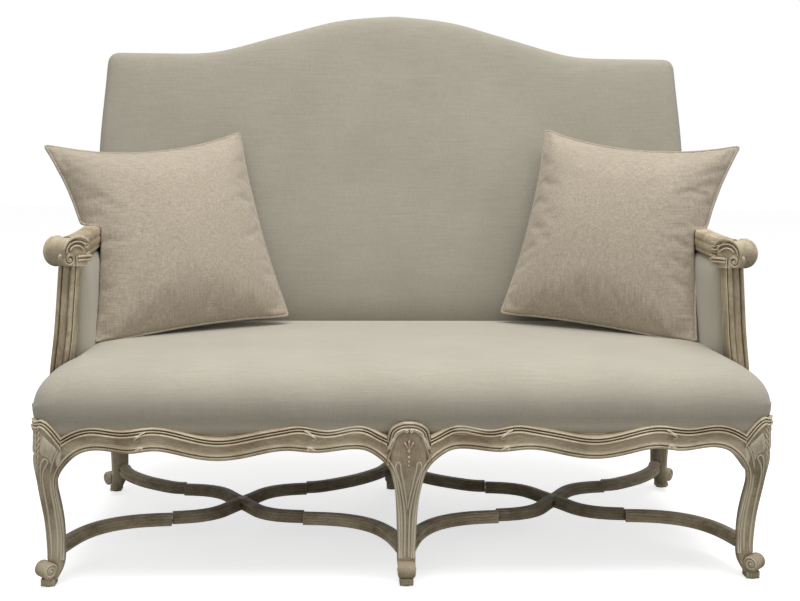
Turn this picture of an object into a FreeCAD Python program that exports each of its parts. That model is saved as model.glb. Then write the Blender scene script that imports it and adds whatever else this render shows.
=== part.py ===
# Two-seat settee with a camel back, carved cabriole legs, crossed stretchers and two loose cushions.
# Millimetres. +X is to the right seen from the front, +Y runs to the back, +Z is up.
# Everything is drawn with Y = 0 on the line of the front foot pads, and is moved on saving
# so that the origin lies on the floor under the middle of the whole settee.
import FreeCAD, Part
import math
import os

V = FreeCAD.Vector

# Stance on the floor
foot_half_spacing = 700.0        # middle line to the outer front foot pads
rear_foot_half_spacing = 690.0
rear_foot_y = 619.0              # front pads to rear pads
centre_foot_forward = 18.0       # the front centre foot stands forward of the other two

# Feet
glide_radius = 10.0
glide_thickness = 2.0
pad_side = 27.0
pad_height = 14.0
scroll_radius = 21.0
scroll_width = 35.0
scroll_height = 36.0             # floor to the scroll's axis
eye_radius = 8.0
eye_relief = 2.5

# Legs and rails
rail_top = 340.0                 # top of every seat rail and leg block
rail_thickness = 44.0
side_rail_outer = 714.0
rear_rail_outer = 592.0          # back face of the rear rail
front_ankle_inset = (18.0, 14.0)  # ankle axis, inwards and backwards from the pad
rear_ankle_inset = (18.0, 27.0)   # ankle axis, inwards and forwards from the pad
centre_ankle_back = 14.0
# Stations of a corner leg: height, outward and forward bow from the ankle axis, width, outer corner's radius
corner_leg_line = [(16, 13, 11, 28, 6), (40, 4, 2, 36, 7), (75, 2, 0, 37, 8), (105, 2, 0, 39, 8),
                   (135, 3.5, 4, 40, 9), (175, 7.5, 13, 41, 11), (215, 11.5, 23, 44, 18), (245, 8.5, 31, 53, 24),
                   (270, 2.5, 35.5, 62, 28), (300, -1.5, 38.5, 63, 30)]
centre_leg_depth = 0.8           # depth of the centre leg's knee for each millimetre of width
# Stations of the centre leg: height, forward bow, width
centre_leg_line = [(16, 11, 28), (40, 2, 36), (75, 0, 36), (105, 2, 38), (140, 6, 40), (175, 13, 44),
                   (205, 20, 54), (235, 26, 68), (265, 29, 80), (300, 30, 84)]
knee_start = 200.0               # the middle legs widen sideways above this height
rear_leg_sway = 0.75             # share of the front leg's bow that the rear legs have
rear_knee_width = 0.8            # width of the rear middle leg's knee against the front one's

# Front rail moulding, from the centre leg (0) to the corner leg (1)
moulding_low = 307.0             # lowest point of the upper edge
moulding_height = 47.0
moulding_depth = 9.0             # stands proud of the tacking rebate
rail_upper_edge = [(0.0, 4), (0.10, 26), (0.19, 18), (0.29, 25), (0.52, 0), (0.70, 24), (0.79, 19),
                   (0.89, 25), (1.0, 12)]
rail_face_line = [(0.0, 50), (0.29, 61), (0.52, 54), (0.78, 61), (1.0, 55)]   # forward of the foot line
bracket_drop = 34.0              # how far the rail's lower edge runs down into each leg
bracket_run = 34.0
rebate_bottom = 300.0
under_cloth = 289.0              # cloth under the seat, between the rails
tenon_length = 18.0
tenon_thickness = 14.0
tenon_height = 40.0
cross_tenon_height = 28.0
fit_gap = 0.2                    # clearance of a tenon in its mortise

# Crossed stretchers
stretcher_bottom = 54.0
stretcher_height = 24.0
arm_half_width = 14.0
horn_half_width = 13.0
shoulder_out = 140.0             # middle of the hub to the shoulder where an arm laps on
shoulder_side = 101.0
shoulder_step = 11.0             # the arm sits this much further out than the horn it meets
front_arm_bend = [(0.42, 0.08), (0.73, 0.30), (0.91, 0.57)]
rear_arm_bend = [(0.30, 0.12), (0.54, 0.30), (0.78, 0.56), (0.93, 0.80)]

# Back
back_rake = 13.0                 # degrees from upright
seat_back_y = 500.0              # where the seat meets the inside back
seat_back_z = 445.0
back_pad_depth = 54.0
webbing_thickness = 1.5
hessian_thickness = 1.5
post_depth = 35.0
post_width = 50.0
fabric = 3.0                     # upholstery cloth with its lining
back_half_width = 711.0
back_top_half_width = 694.0
shoulder_height = 656.5          # along the rake from the seat line to the shoulders
hump_rise = 100.5
shoulder_radius = 27.0
back_bottom_drop = 112.0         # below the seat line, before the deck trims it
# Camel line: share of the half width, share of the hump's rise
camel_line = [(0.90, 0.0), (0.72, 0.0), (0.65, 0.03), (0.58, 0.12), (0.44, 0.40), (0.30, 0.68), (0.16, 0.90)]
top_rail_height = 70.0

# Seat
seat_crown = 452.0
seat_front_proud = 6.0           # the roll stands this much ahead of the moulding
# Front of the seat cloth, from the middle (0) to the wing (1), forward of the foot line
seat_front_line = [(0.0, 51), (0.27, 61), (0.52, 54), (0.78, 61), (0.93, 55)]
seat_wing_half_width = 719.0
wing_back_y = 78.0
seat_between_arms = 639.5
# Rings of the seat: height, inset of the front, inset of the wings, corner radius
seat_rings = [(300, 10, 9, 50), (335, 9, 8, 50), (352, 1.5, 2, 56), (372, 0, 0, 60), (390, 4, 8, 60),
              (408, 14, 22, 58), (424, 32, 42, 54), (437, 62, 62, 48), (446, 105, 78, 40), (452, 180, 84, 34)]
spring_wire = 1.9
springs_per_bay = 5
spring_waves = 7
spring_half_wave = 24.0

# Arms
arm_scroll_centre = (671.0, 90.0, 648.0)
arm_scroll_radius = 31.0
arm_scroll_length = 66.0
arm_width = 43.0
arm_flare = 38.0                 # degrees that the handhold turns outwards
arm_rail_height = 44.0
# Stations of the arm rail behind the scroll: X, Y, top
arm_rail_line = [(668.0, 104.0, 677.0), (664.0, 135.0, 678.0), (661.4, 180.0, 680.0), (661.4, 280.0, 686.0),
                 (661.4, 420.0, 698.0), (661.4, 560.0, 708.0)]
# Stations of the stump: Z, outer X, width, middle Y, depth
stump_line = [(390.0, 710.0, 39.0, 104.0, 48.0), (471.0, 699.0, 39.0, 99.0, 44.0),
              (551.0, 690.0, 38.0, 95.0, 40.0), (600.0, 685.0, 38.0, 94.0, 42.0)]
stump_base_depth = 50.0
arm_panel_outer = 668.0
arm_panel_crown = 640.5
arm_panel_edge = 652.0

# Loose cushions
cushion_side = 462.0
cushion_half_thickness = 72.0
cushion_pinch = 30.0             # how far the sides draw in between the corners
cushion_edge = 5.0               # half thickness at the seam
# Rings of one cushion face: share of the half side, share of the crown, share of the pinch
cushion_crown = [(0.34, 0.97, 0.2), (0.60, 0.80, 0.5), (0.80, 0.52, 0.8), (0.93, 0.24, 1.0), (1.0, 0.0, 1.0)]
cushion_centre = (503.0, 380.0, 665.0)
cushion_turn = 28.5              # degrees inwards
cushion_lean = 23.0              # degrees backwards
cushion_tilt = 4.7               # degrees in its own plane
piping_radius = 3.0
rest_gap = 0.3

# Fasteners
screw_radius = 2.5
screw_head_radius = 4.5
screw_head = 3.0
screw_length = 42.0
clip_size = (16.0, 22.0, 6.0)

# Where the pieces of the frame meet
rail_bottom = moulding_low - moulding_height
front_ankle = (foot_half_spacing - front_ankle_inset[0], front_ankle_inset[1])
rear_ankle = (rear_foot_half_spacing - rear_ankle_inset[0], rear_foot_y - rear_ankle_inset[1])
corner_block_half = corner_leg_line[-1][3] / 2
centre_block_half = centre_leg_line[-1][2] / 2
corner_block_x = front_ankle[0] + corner_leg_line[-1][1]
rail_face_y = -rail_face_line[-1][1]
rail_inner_y = rail_face_y + rail_thickness
side_rail_inner = side_rail_outer - rail_thickness
rear_rail_inner = rear_rail_outer - rail_thickness
rear_block_y = rear_ankle[1] - corner_leg_line[-1][2] * rear_leg_sway
frame_front_depth = fabric + back_pad_depth
frame_back_depth = frame_front_depth + post_depth
back_depth = frame_back_depth + fabric
cos_rake = math.cos(math.radians(back_rake))
sin_rake = math.sin(math.radians(back_rake))
hub_y = rear_foot_y / 2
hub_x = foot_half_spacing / 2


def back_point(x, depth, height):
    """A point given across the back, into it from its front plane, and up along its rake."""
    y = seat_back_y + depth * cos_rake + height * sin_rake
    return V(x, y, seat_back_z + height * cos_rake - depth * sin_rake)


front_reach = -max(face for share, face in rail_face_line) - seat_front_proud
back_reach = back_point(0, back_depth, shoulder_height + hump_rise).y
middle_y = (front_reach + back_reach) / 2


# Helpers

def box(x0, x1, y0, y1, z0, z1):
    return Part.makeBox(x1 - x0, y1 - y0, z1 - z0, V(x0, y0, z0))


def mirrored(shape):
    return shape.mirror(V(0, 0, 0), V(1, 0, 0))


def spline(points, closed=False):
    curve = Part.BSplineCurve()
    curve.interpolate(points, PeriodicFlag=closed)
    return curve


def loft(wires, ruled=False):
    return Part.makeLoft(wires, True, ruled)


def rounded_rectangle(centre, across, up, width, height, radius, own=None):
    """A closed wire of four lines and four arcs in the plane of the unit vectors across and up.

    own is the two signs of one corner and the radius of that corner alone.
    """
    w = width / 2
    h = height / 2
    corners = []
    for sx, sy in [(1, -1), (1, 1), (-1, 1), (-1, -1)]:
        r = own[2] if own and (sx, sy) == own[:2] else radius
        turn = r * (1 - math.sqrt(0.5))
        near = centre + across * (sx * (w - r)) + up * (sy * h)
        far = centre + across * (sx * w) + up * (sy * (h - r))
        middle = centre + across * (sx * (w - turn)) + up * (sy * (h - turn))
        corners.append((near, middle, far) if sx * sy < 0 else (far, middle, near))
    edges = []
    for i, (start, middle, end) in enumerate(corners):
        edges.append(Part.Arc(start, middle, end).toShape())
        edges.append(Part.LineSegment(end, corners[(i + 1) % 4][0]).toShape())
    return Part.Wire(edges)


def strip(points, half_width, bottom, top):
    """An upright bar whose middle line follows the points in plan."""
    middle = spline([V(x, y, bottom) for x, y in points])
    steps = 4 * (len(points) - 1)
    sides = []
    for sign in (1, -1):
        side = []
        for i in range(steps + 1):
            u = middle.FirstParameter + (middle.LastParameter - middle.FirstParameter) * i / steps
            tangent = middle.tangent(u)[0]
            side.append(middle.value(u) + V(-tangent.y, tangent.x, 0) * (sign * half_width))
        sides.append(side)
    left, right = sides
    outline = Part.Wire([spline(left).toShape(),
                         Part.LineSegment(left[-1], right[-1]).toShape(),
                         spline(right[::-1]).toShape(),
                         Part.LineSegment(right[0], left[0]).toShape()])
    return Part.Face(outline).extrude(V(0, 0, top - bottom))


def prism(points, direction):
    return Part.Face(Part.makePolygon(points + [points[0]])).extrude(direction)


def joined(first, *others):
    return first.fuse(list(others)).removeSplitter()


def save(name, solids):
    """Write one node: a solid, or a group of separate solids."""
    group = Part.makeCompound([s for shape in solids for s in shape.Solids])
    group.translate(V(0, -middle_y, 0))
    group.exportStep("parts/" + name + ".step")
    loose = [s for s in group.Solids if not s.isValid() or s.Volume <= 0]
    print(name, len(group.Solids), "solids", round(group.Volume / 1000), "cm3", "BAD" if loose else "")


def save_pair(name, shape):
    """Write the right-hand piece and its mirror image."""
    save(name + "_right", [shape])
    save(name + "_left", [mirrored(shape)])


# Legs

def foot(pad, outward, ankle):
    """The scroll with its two eyes, and the square pad below it."""
    axis = V(-outward.y, outward.x, 0)
    centre = V(ankle.x, ankle.y, scroll_height) + outward * ((V(pad.x, pad.y, 0) - ankle).dot(outward) + 5)
    pieces = [Part.makeCylinder(scroll_radius, scroll_width, centre - axis * (scroll_width / 2), axis)]
    for side in (1, -1):
        rim = centre + axis * (side * scroll_width / 2)
        pieces.append(Part.makeCylinder(eye_radius, eye_relief, rim, axis * side))
    half = pad_side / 2
    block = box(pad.x - half, pad.x + half, pad.y - half, pad.y + half, glide_thickness, glide_thickness + pad_height)
    pieces.append(block)
    return pieces


def leg(pad, ankle, outward, stations):
    """A cabriole leg through its stations (height, offset, width, depth, own corner), with foot and top block."""
    wires = []
    for z, offset, width, depth, own in stations:
        centre = V(ankle.x + offset.x, ankle.y + offset.y, z)
        wires.append(rounded_rectangle(centre, V(1, 0, 0), V(0, 1, 0), width, depth, depth * 0.22, own))
    top = Part.Face(wires[-1]).extrude(V(0, 0, rail_top - stations[-1][0]))
    return joined(loft(wires), top, *foot(pad, outward, ankle))


def corner_leg(pad, ankle, back, sway):
    """A corner leg on the right-hand side; back is 1 at the rear and -1 at the front."""
    stations = [(z, V(out, -forward * sway, 0), width, width, (1, back, radius))
                for z, out, forward, width, radius in corner_leg_line]
    return leg(pad, ankle, V(1, back, 0).normalize(), stations)


def centre_leg(pad, ankle, back, sway, knee_width):
    """The middle leg of a row, shallower than it is wide at the knee."""
    stations = []
    for z, forward, width in centre_leg_line:
        across = width * knee_width if z > knee_start else width
        deep = width * centre_leg_depth if z > knee_start else width
        stations.append((z, V(0, -forward * sway, 0), across, deep, None))
    return leg(pad, ankle, V(0, back, 0), stations)


front_centre_ankle = V(0, -centre_foot_forward + centre_ankle_back, 0)
rear_centre_ankle = V(0, rear_ankle[1], 0)
front_corner = corner_leg(V(foot_half_spacing, 0, 0), V(front_ankle[0], front_ankle[1], 0), -1, 1.0)
rear_corner = corner_leg(V(rear_foot_half_spacing, rear_foot_y, 0), V(rear_ankle[0], rear_ankle[1], 0),
                         1, rear_leg_sway)
front_centre = centre_leg(V(0, -centre_foot_forward, 0), front_centre_ankle, -1, 1.0, 1.0)
rear_centre = centre_leg(V(0, rear_foot_y, 0), rear_centre_ankle, 1, rear_leg_sway, rear_knee_width)


# Front rail, right half

def bay(share):
    """X at a share of the way from the centre leg to the corner leg."""
    start = centre_block_half
    return start + share * (corner_block_x - corner_block_half - start)


def rail_face(inset):
    return [V(bay(share), -face + inset, 0) for share, face in rail_face_line]


def front_rail_body(inset, bottom, upper):
    """The stretch of rail behind its serpentine face, between two edges drawn in elevation."""
    face = rail_face(inset)
    back_left = V(face[0].x, rail_inner_y, 0)
    back_right = V(face[-1].x, rail_inner_y, 0)
    plan = Part.Wire([spline(face).toShape(), Part.LineSegment(face[-1], back_right).toShape(),
                      Part.LineSegment(back_right, back_left).toShape(),
                      Part.LineSegment(back_left, face[0]).toShape()])
    block = Part.Face(plan).extrude(V(0, 0, rail_top))
    front = V(0, front_reach - 20, 0)
    edge = Part.Wire([spline([p + front for p in bottom]).toShape(),
                      Part.LineSegment(bottom[-1] + front, upper[-1] + front).toShape(),
                      spline([p + front for p in upper[::-1]]).toShape(),
                      Part.LineSegment(upper[0] + front, bottom[0] + front).toShape()])
    return block.common(Part.Face(edge).extrude(V(0, 200, 0)))


def front_rail():
    upper = [V(bay(share), 0, moulding_low + rise) for share, rise in rail_upper_edge]
    lower = [p - V(0, 0, moulding_height) for p in upper[1:-1]]
    left_end = V(bay(0), 0, lower[0].z - bracket_drop)
    right_end = V(bay(1), 0, lower[-1].z - bracket_drop)
    lower[0] = V(bay(0) + bracket_run * 1.6, 0, lower[0].z)
    lower[-1] = V(bay(1) - bracket_run * 1.6, 0, lower[-1].z)
    left_bend = V(bay(0) + bracket_run * 0.45, 0, lower[0].z - bracket_drop * 0.4)
    right_bend = V(bay(1) - bracket_run * 0.45, 0, lower[-1].z - bracket_drop * 0.4)
    lower = [left_end, left_bend] + lower + [right_bend, right_end]
    moulding = front_rail_body(0, lower, upper)
    strip_low = [V(p.x, 0, rebate_bottom) for p in upper]
    strip_high = [V(p.x, 0, rail_top) for p in upper]
    rebate = front_rail_body(moulding_depth, strip_low, strip_high)
    return joined(moulding, rebate, *front_tenons(0))


def front_tenons(grow):
    """Tenons of the front rail in the centre leg and the corner leg; a mortise has them grown."""
    y = (rail_face_y + rail_inner_y) / 2 + 4
    half = tenon_thickness / 2 + grow
    low = rail_bottom + 12 - grow
    tall = tenon_height + 2 * grow
    reach = tenon_length + grow
    return [box(bay(0) - reach, bay(0) + 5, y - half, y + half, low, low + tall),
            box(bay(1) - 5, bay(1) + reach, y - half, y + half, low, low + tall)]


# Side, rear and cross rails

def side_rail():
    """Right side rail, with a gently curved lower edge and a tenon into each corner leg."""
    start = front_ankle[1] - corner_leg_line[-1][2] + corner_block_half
    end = rear_block_y - corner_block_half
    span = end - start
    lower = [V(0, start + span * s, rail_bottom + rise)
             for s, rise in [(0, -10), (0.10, 20), (0.30, 14), (0.5, 2), (0.70, 14), (0.90, 20), (1, -10)]]
    x = V(side_rail_inner, 0, 0)
    outline = Part.Wire([spline([p + x for p in lower]).toShape(),
                         Part.LineSegment(lower[-1] + x, V(x.x, end, rail_top)).toShape(),
                         Part.LineSegment(V(x.x, end, rail_top), V(x.x, start, rail_top)).toShape(),
                         Part.LineSegment(V(x.x, start, rail_top), lower[0] + x).toShape()])
    body = Part.Face(outline).extrude(V(rail_thickness, 0, 0))
    return joined(body, *side_tenons(0))


def side_tenons(grow):
    start = front_ankle[1] - corner_leg_line[-1][2] + corner_block_half
    end = rear_block_y - corner_block_half
    x = (side_rail_inner + side_rail_outer) / 2
    half = tenon_thickness / 2 + grow
    low = rail_bottom + 30 - grow
    tall = tenon_height + 2 * grow
    reach = tenon_length + grow
    return [box(x - half, x + half, start - reach, start + 5, low, low + tall),
            box(x - half, x + half, end - 5, end + reach, low, low + tall)]


rear_block_half_x = centre_block_half * rear_knee_width
rear_rail_end = rear_ankle[0] + corner_leg_line[-1][1] - corner_block_half


def rear_rail():
    body = box(rear_block_half_x, rear_rail_end, rear_rail_inner, rear_rail_outer, rail_bottom + 10, rail_top)
    return joined(body, *rear_tenons(0))


def rear_tenons(grow):
    y = (rear_rail_inner + rear_rail_outer) / 2 - 2
    half = tenon_thickness / 2 + grow
    low = rail_bottom + 24 - grow
    tall = tenon_height + 2 * grow
    reach = tenon_length + grow
    return [box(rear_block_half_x - reach, rear_block_half_x + 5, y - half, y + half, low, low + tall),
            box(rear_rail_end - 5, rear_rail_end + reach, y - half, y + half, low, low + tall)]


cross_rail_half = 22.0
centre_block_depth = centre_leg_line[-1][2] * centre_leg_depth
cross_rail_front = front_centre_ankle.y - centre_leg_line[-1][1] + centre_block_depth / 2
cross_rail_back = rear_ankle[1] - centre_leg_line[-1][1] * rear_leg_sway - centre_block_depth / 2


def cross_tenons(grow):
    half = tenon_thickness / 2 + grow
    low = under_cloth + 4 - grow
    tall = cross_tenon_height + 2 * grow
    reach = tenon_length + grow
    return [box(-half, half, cross_rail_front - reach, cross_rail_front + 5, low, low + tall),
            box(-half, half, cross_rail_back - 5, cross_rail_back + reach, low, low + tall)]


cross_rail = joined(box(-cross_rail_half, cross_rail_half, cross_rail_front, cross_rail_back,
                        under_cloth + 1, rail_top - 14), *cross_tenons(0))


# Corner blocks and their screws

def corner_block(corner, toward_x, toward_y, size):
    """A three-cornered glue block in the angle of two rails."""
    low = under_cloth + 1
    points = [V(corner[0], corner[1], low), V(corner[0] + toward_x * size, corner[1], low),
              V(corner[0], corner[1] + toward_y * size, low)]
    return prism(points, V(0, 0, rail_top - 16 - low))


def screw(head, direction):
    """A countersunk wood screw with its head at the given point."""
    shank = Part.makeCylinder(screw_radius, screw_length, head, direction)
    cap = Part.makeCone(screw_head_radius, screw_radius, screw_head, head, direction)
    return joined(shank, cap)


block_size = 92.0
block_screw_reach = 0.72         # share of the block's side where its screw goes in


def block_and_screws(corner, toward_x, toward_y):
    block = corner_block(corner, toward_x, toward_y, block_size)
    along = block_size * block_screw_reach
    depth = block_size - along
    height = under_cloth + 11
    into_x = screw(V(corner[0] + toward_x * depth, corner[1] + toward_y * along, height), V(-toward_x, 0, 0))
    into_y = screw(V(corner[0] + toward_x * along, corner[1] + toward_y * depth, height + 12),
                   V(0, -toward_y, 0))
    return block, [into_x, into_y]


# Stretchers

def horn_line(sign_y):
    """Middle line of one of the two crossed S-curves of the hub, from shoulder to shoulder."""
    half = [(1.0, 1.0), (0.60, 0.89), (0.33, 0.65), (0.14, 0.27)]
    line = [(-shoulder_out * across, -sign_y * shoulder_side * side) for across, side in half]
    return line + [(0, 0)] + [(-x, -y) for x, y in line[::-1]]


def hub():
    arches = []
    for sign in (-1, 1):
        points = [(hub_x + x, hub_y + y) for x, y in horn_line(sign)]
        arches.append(strip(points, horn_half_width, stretcher_bottom, stretcher_bottom + stretcher_height))
    return joined(*arches)


def stretcher_arm(end, bend):
    """From the shoulder on the hub to the leg; end is the point where it meets the leg in plan."""
    out = 1 if end[0] > hub_x else -1
    back = 1 if end[1] > hub_y else -1
    start = (hub_x + out * shoulder_out, hub_y + back * (shoulder_side + shoulder_step))
    first = (start[0] + out * 12, start[1] + back * 0.8)
    points = [start, first]
    for along, aside in bend:
        points.append((start[0] + (end[0] - start[0]) * along, start[1] + (end[1] - start[1]) * aside))
    points.append(end)
    return strip(points, arm_half_width, stretcher_bottom, stretcher_bottom + stretcher_height)


# Seat

def back_face_y(z, depth=0.0):
    """Y on the back's front plane, or that far behind it, at a height."""
    return seat_back_y + (z - seat_back_z) * math.tan(math.radians(back_rake)) + depth / cos_rake


def seat_ring(z, front_inset, wing_inset, radius, shrink):
    """One horizontal outline of the seat: a serpentine front, round corners and straight sides."""
    wing = seat_wing_half_width - wing_inset - shrink
    back = back_face_y(z) - 1.0 - shrink
    reach = wing - radius
    inset = front_inset + shrink - seat_front_proud
    line = [V(share * seat_wing_half_width, inset - face, z) for share, face in seat_front_line]
    right = [V(reach, inset - seat_front_line[-1][1], z)]
    turn = radius * (1 - math.sqrt(0.5))
    right += [V(wing - turn, right[0].y + turn, z), V(wing, right[0].y + radius, z)]
    flip = lambda p: V(-p.x, p.y, z)
    left = [flip(p) for p in right[::-1]]
    front = left[2:] + [flip(p) for p in line[::-1][1:-1]] + line[:-1] + right[:1]
    edges = [Part.Arc(*right).toShape(),
             Part.LineSegment(right[2], V(wing, back, z)).toShape(),
             Part.LineSegment(V(wing, back, z), V(-wing, back, z)).toShape(),
             Part.LineSegment(V(-wing, back, z), left[0]).toShape(),
             Part.Arc(*left).toShape(),
             spline(front).toShape()]
    return Part.Wire(edges)


def seat_body(shrink, lowest):
    """The crowned seat, full width in front of the stumps and narrower between the arms."""
    rings = [ring for ring in seat_rings if ring[0] >= lowest]
    wires = []
    for z, front_inset, wing_inset, radius in rings:
        height = z - shrink if z == seat_crown else z
        wires.append(seat_ring(height, front_inset, wing_inset, radius, shrink))
    inner = seat_between_arms - shrink
    notch = wing_back_y - shrink
    beside = [box(inner, 900, notch, 900, 200, 600), box(-900, -inner, notch, 900, 200, 600)]
    return loft(wires, True).cut(beside)


# Back

def back_outline(inset, depth):
    """The camel outline in the plane at a depth behind the back's face, drawn in by inset."""
    half = back_half_width - inset
    top_half = back_top_half_width - inset
    shoulder = shoulder_height - inset
    rise = hump_rise
    low = -back_bottom_drop + inset
    side_top = shoulder - shoulder_radius
    bend = [(half, low), (half, shoulder * 0.35), (half - 3, shoulder * 0.70), (top_half + 1.5, side_top - 12)]
    turn = shoulder_radius * (1 - math.sqrt(0.5))
    corner = [(top_half, side_top), (top_half - turn, shoulder - turn), (top_half - shoulder_radius, shoulder)]
    hump = [(share * top_half, shoulder + rise * lift) for share, lift in camel_line]
    side = bend[1:] + [corner[0]]
    place = lambda p: back_point(p[0], depth, p[1])
    flip = lambda p: back_point(-p[0], depth, p[1])
    top = [place(corner[2])] + [place(p) for p in hump] + [back_point(0, depth, shoulder + rise)]
    top += [flip(p) for p in hump[::-1]] + [flip(corner[2])]
    edges = [Part.LineSegment(flip(bend[0]), place(bend[0])).toShape(),
             Part.LineSegment(place(bend[0]), place(bend[1])).toShape(),
             spline([place(p) for p in side]).toShape(),
             Part.Arc(*[place(p) for p in corner]).toShape(),
             spline(top).toShape(),
             Part.Arc(*[flip(p) for p in corner[::-1]]).toShape(),
             spline([flip(p) for p in side[::-1]]).toShape(),
             Part.LineSegment(flip(bend[1]), flip(bend[0])).toShape()]
    return Part.Wire(edges)


back_rings = [(0.0, 75.0), (2.5, 30.0), (8.0, 11.0), (16.0, 3.0), (26.0, 0.0)]   # depth, inset


def back_body(shrink, deepest):
    """The crowned front of the back and its straight border, down to a depth."""
    wires = [back_outline(inset + shrink, depth + shrink) for depth, inset in back_rings]
    wires.append(back_outline(shrink, deepest))
    return loft(wires, True)


def back_board(x0, x1, d0, d1, h0, h1):
    """A straight piece of the back frame."""
    points = [back_point(x0, d0, h0), back_point(x1, d0, h0), back_point(x1, d1, h0), back_point(x0, d1, h0)]
    return prism(points, back_point(0, 0, h1) - back_point(0, 0, h0))


frame_half = back_half_width - fabric - 20.0      # outer face of the posts
post_top = shoulder_height - top_rail_height
post_bottom = -(seat_back_z - rail_top) / cos_rake + frame_front_depth * sin_rake / cos_rake


def back_post():
    post = back_board(frame_half - post_width, frame_half, frame_front_depth, frame_back_depth,
                      post_bottom - 20, post_top)
    return post.cut(box(0, 800, 300, 800, 0, rail_top))


def top_rail():
    """The camel rail between and over the posts."""
    outline = Part.Face(back_outline(fabric + 6.0, frame_front_depth))
    rail = outline.extrude(back_point(0, frame_back_depth, 0) - back_point(0, frame_front_depth, 0))
    keep = [(-frame_half, post_top), (frame_half, post_top)]
    arch = [(0.62, 4), (0.36, 44), (0.16, 70)]
    wide = frame_half - post_width
    under = [(wide, post_top)] + [(wide * s, post_top + rise) for s, rise in arch] + [(0, post_top + 78)]
    under += [(-x, h) for x, h in under[-2::-1]]
    d0 = frame_front_depth - 5
    line = spline([back_point(x, d0, h) for x, h in under]).toShape()
    ends = [back_point(keep[0][0] - 40, d0, post_top), back_point(keep[0][0] - 40, d0, -200),
            back_point(keep[1][0] + 40, d0, -200), back_point(keep[1][0] + 40, d0, post_top)]
    path = [back_point(under[-1][0], d0, post_top)] + ends + [back_point(under[0][0], d0, post_top)]
    edges = [line] + [Part.LineSegment(a, b).toShape() for a, b in zip(path, path[1:])]
    below = Part.Face(Part.Wire(edges)).extrude(back_point(0, 60, 0) - back_point(0, 0, 0))
    return rail.cut(below)


# Arms

def arm_rail():
    """The right arm rail, flaring outwards to a rolled handhold."""
    x, y, z = arm_scroll_centre
    flare = math.radians(arm_flare)
    axis = V(math.cos(flare), math.sin(flare), 0)
    centre = V(x, y, z)
    inner_end = centre - axis * (arm_scroll_length / 2)
    roll = Part.makeCylinder(arm_scroll_radius, arm_scroll_length, inner_end, axis)
    eye = Part.makeCylinder(eye_radius * 1.3, eye_relief, inner_end, axis * -1)
    points = [V(px, py, 0) for px, py, top in arm_rail_line]
    wires = []
    for i, (px, py, top) in enumerate(arm_rail_line):
        ahead = points[min(i + 1, len(points) - 1)] - points[max(i - 1, 0)]
        across = axis if i == 0 else V(ahead.y, -ahead.x, 0).normalize()
        middle = V(px, py, top - arm_rail_height / 2)
        wires.append(rounded_rectangle(middle, across, V(0, 0, 1), arm_width, arm_rail_height, 8))
    end = wires[-1]
    last = loft([end, end.copy().translate(V(0, 90, 4))])
    rail = joined(loft(wires), roll, eye, last)
    front_of_post = back_board(0, 800, frame_front_depth, 400, -300, 900)
    return rail.cut(front_of_post)


def arm_rail_underside(y):
    """Height of the arm rail's underside at a place along it."""
    line = [(py, top - arm_rail_height) for px, py, top in arm_rail_line]
    for (y0, z0), (y1, z1) in zip(line, line[1:]):
        if y <= y1:
            return z0 + (z1 - z0) * (y - y0) / (y1 - y0)
    return line[-1][1]


def stump(rail):
    """The right stump: it stands on the side rail and carries the arm rail."""
    z, outer, width, y, deep = stump_line[0]
    stations = [(rail_top, side_rail_outer, width + 1, y + 1, stump_base_depth)] + stump_line
    z, outer, width, y, deep = stump_line[-1]
    stations = stations + [(arm_scroll_centre[2], outer - 1, width, y, deep)]
    wires = [rounded_rectangle(V(outer - width / 2, y, z), V(1, 0, 0), V(0, 1, 0), width, deep, 6)
             for z, outer, width, y, deep in stations]
    return loft(wires).cut(rail)


def arm_inner_ring(x, inset):
    """Outline of the padded inner panel at one distance from the middle."""
    front = stump_line[1][3] + stump_line[0][4] / 2 + 4
    low = rail_top + 12 + inset
    front += inset
    high_front = arm_rail_underside(front) - 1 - inset
    back_low = back_face_y(low) - 1.5 - inset
    z_back = arm_rail_underside(560) - 1 - inset
    back_high = back_face_y(z_back) - 1.5 - inset
    middle = 0.5 * (front + back_high)
    points = [V(x, front, low), V(x, back_low, low), V(x, back_high, z_back - 8),
              V(x, middle, arm_rail_underside(middle) - 4 - inset), V(x, front, high_front)]
    return Part.makePolygon(points + [points[0]])


def arm_pad(shrink, outer):
    rings = [(outer, shrink), (arm_panel_edge, shrink), (arm_panel_edge - 7 + shrink * 0.3, 5 + shrink),
             (arm_panel_crown + shrink, 32 + shrink)]
    return loft([arm_inner_ring(x, inset) for x, inset in rings], True)


def outside_arm_panel():
    """Cloth on its board, closing the right arm from the stump to the back corner."""
    low_z = rail_top + 0.5
    low_front = stump_line[0][3] + stump_base_depth / 2 + 2
    at_rail = side_rail_outer - 2
    at_post = frame_half + fabric + 0.4
    front = 120.0
    middle_z = 560.0
    rings = []
    for z, outer, y, outer_back in [(low_z, at_rail, low_front, at_rail), (middle_z, 687.0, front, at_post)]:
        back = back_face_y(z, frame_back_depth)
        points = [V(outer - fabric, y, z), V(outer, y, z), V(outer_back, back, z), V(outer_back - fabric, back, z)]
        rings.append(Part.makePolygon(points + [points[0]]))
    lower = loft(rings, True)
    end = back_face_y(middle_z, frame_back_depth)
    top = []
    for y in (front, 180.0, 280.0, end):
        high = arm_rail_underside(y) - 0.5
        outer = 687.0 + (at_post - 687.0) * (y - front) / (end - front)
        above = 681.0 + (at_post - 681.0) * (y - front) / (end - front)
        points = [V(outer - fabric, y, middle_z), V(outer, y, middle_z), V(above, y, high),
                  V(above - fabric, y, high)]
        top.append(Part.makePolygon(points + [points[0]]))
    upper = loft(top, True)
    return joined(lower, upper)


# Loose cushions

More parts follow.
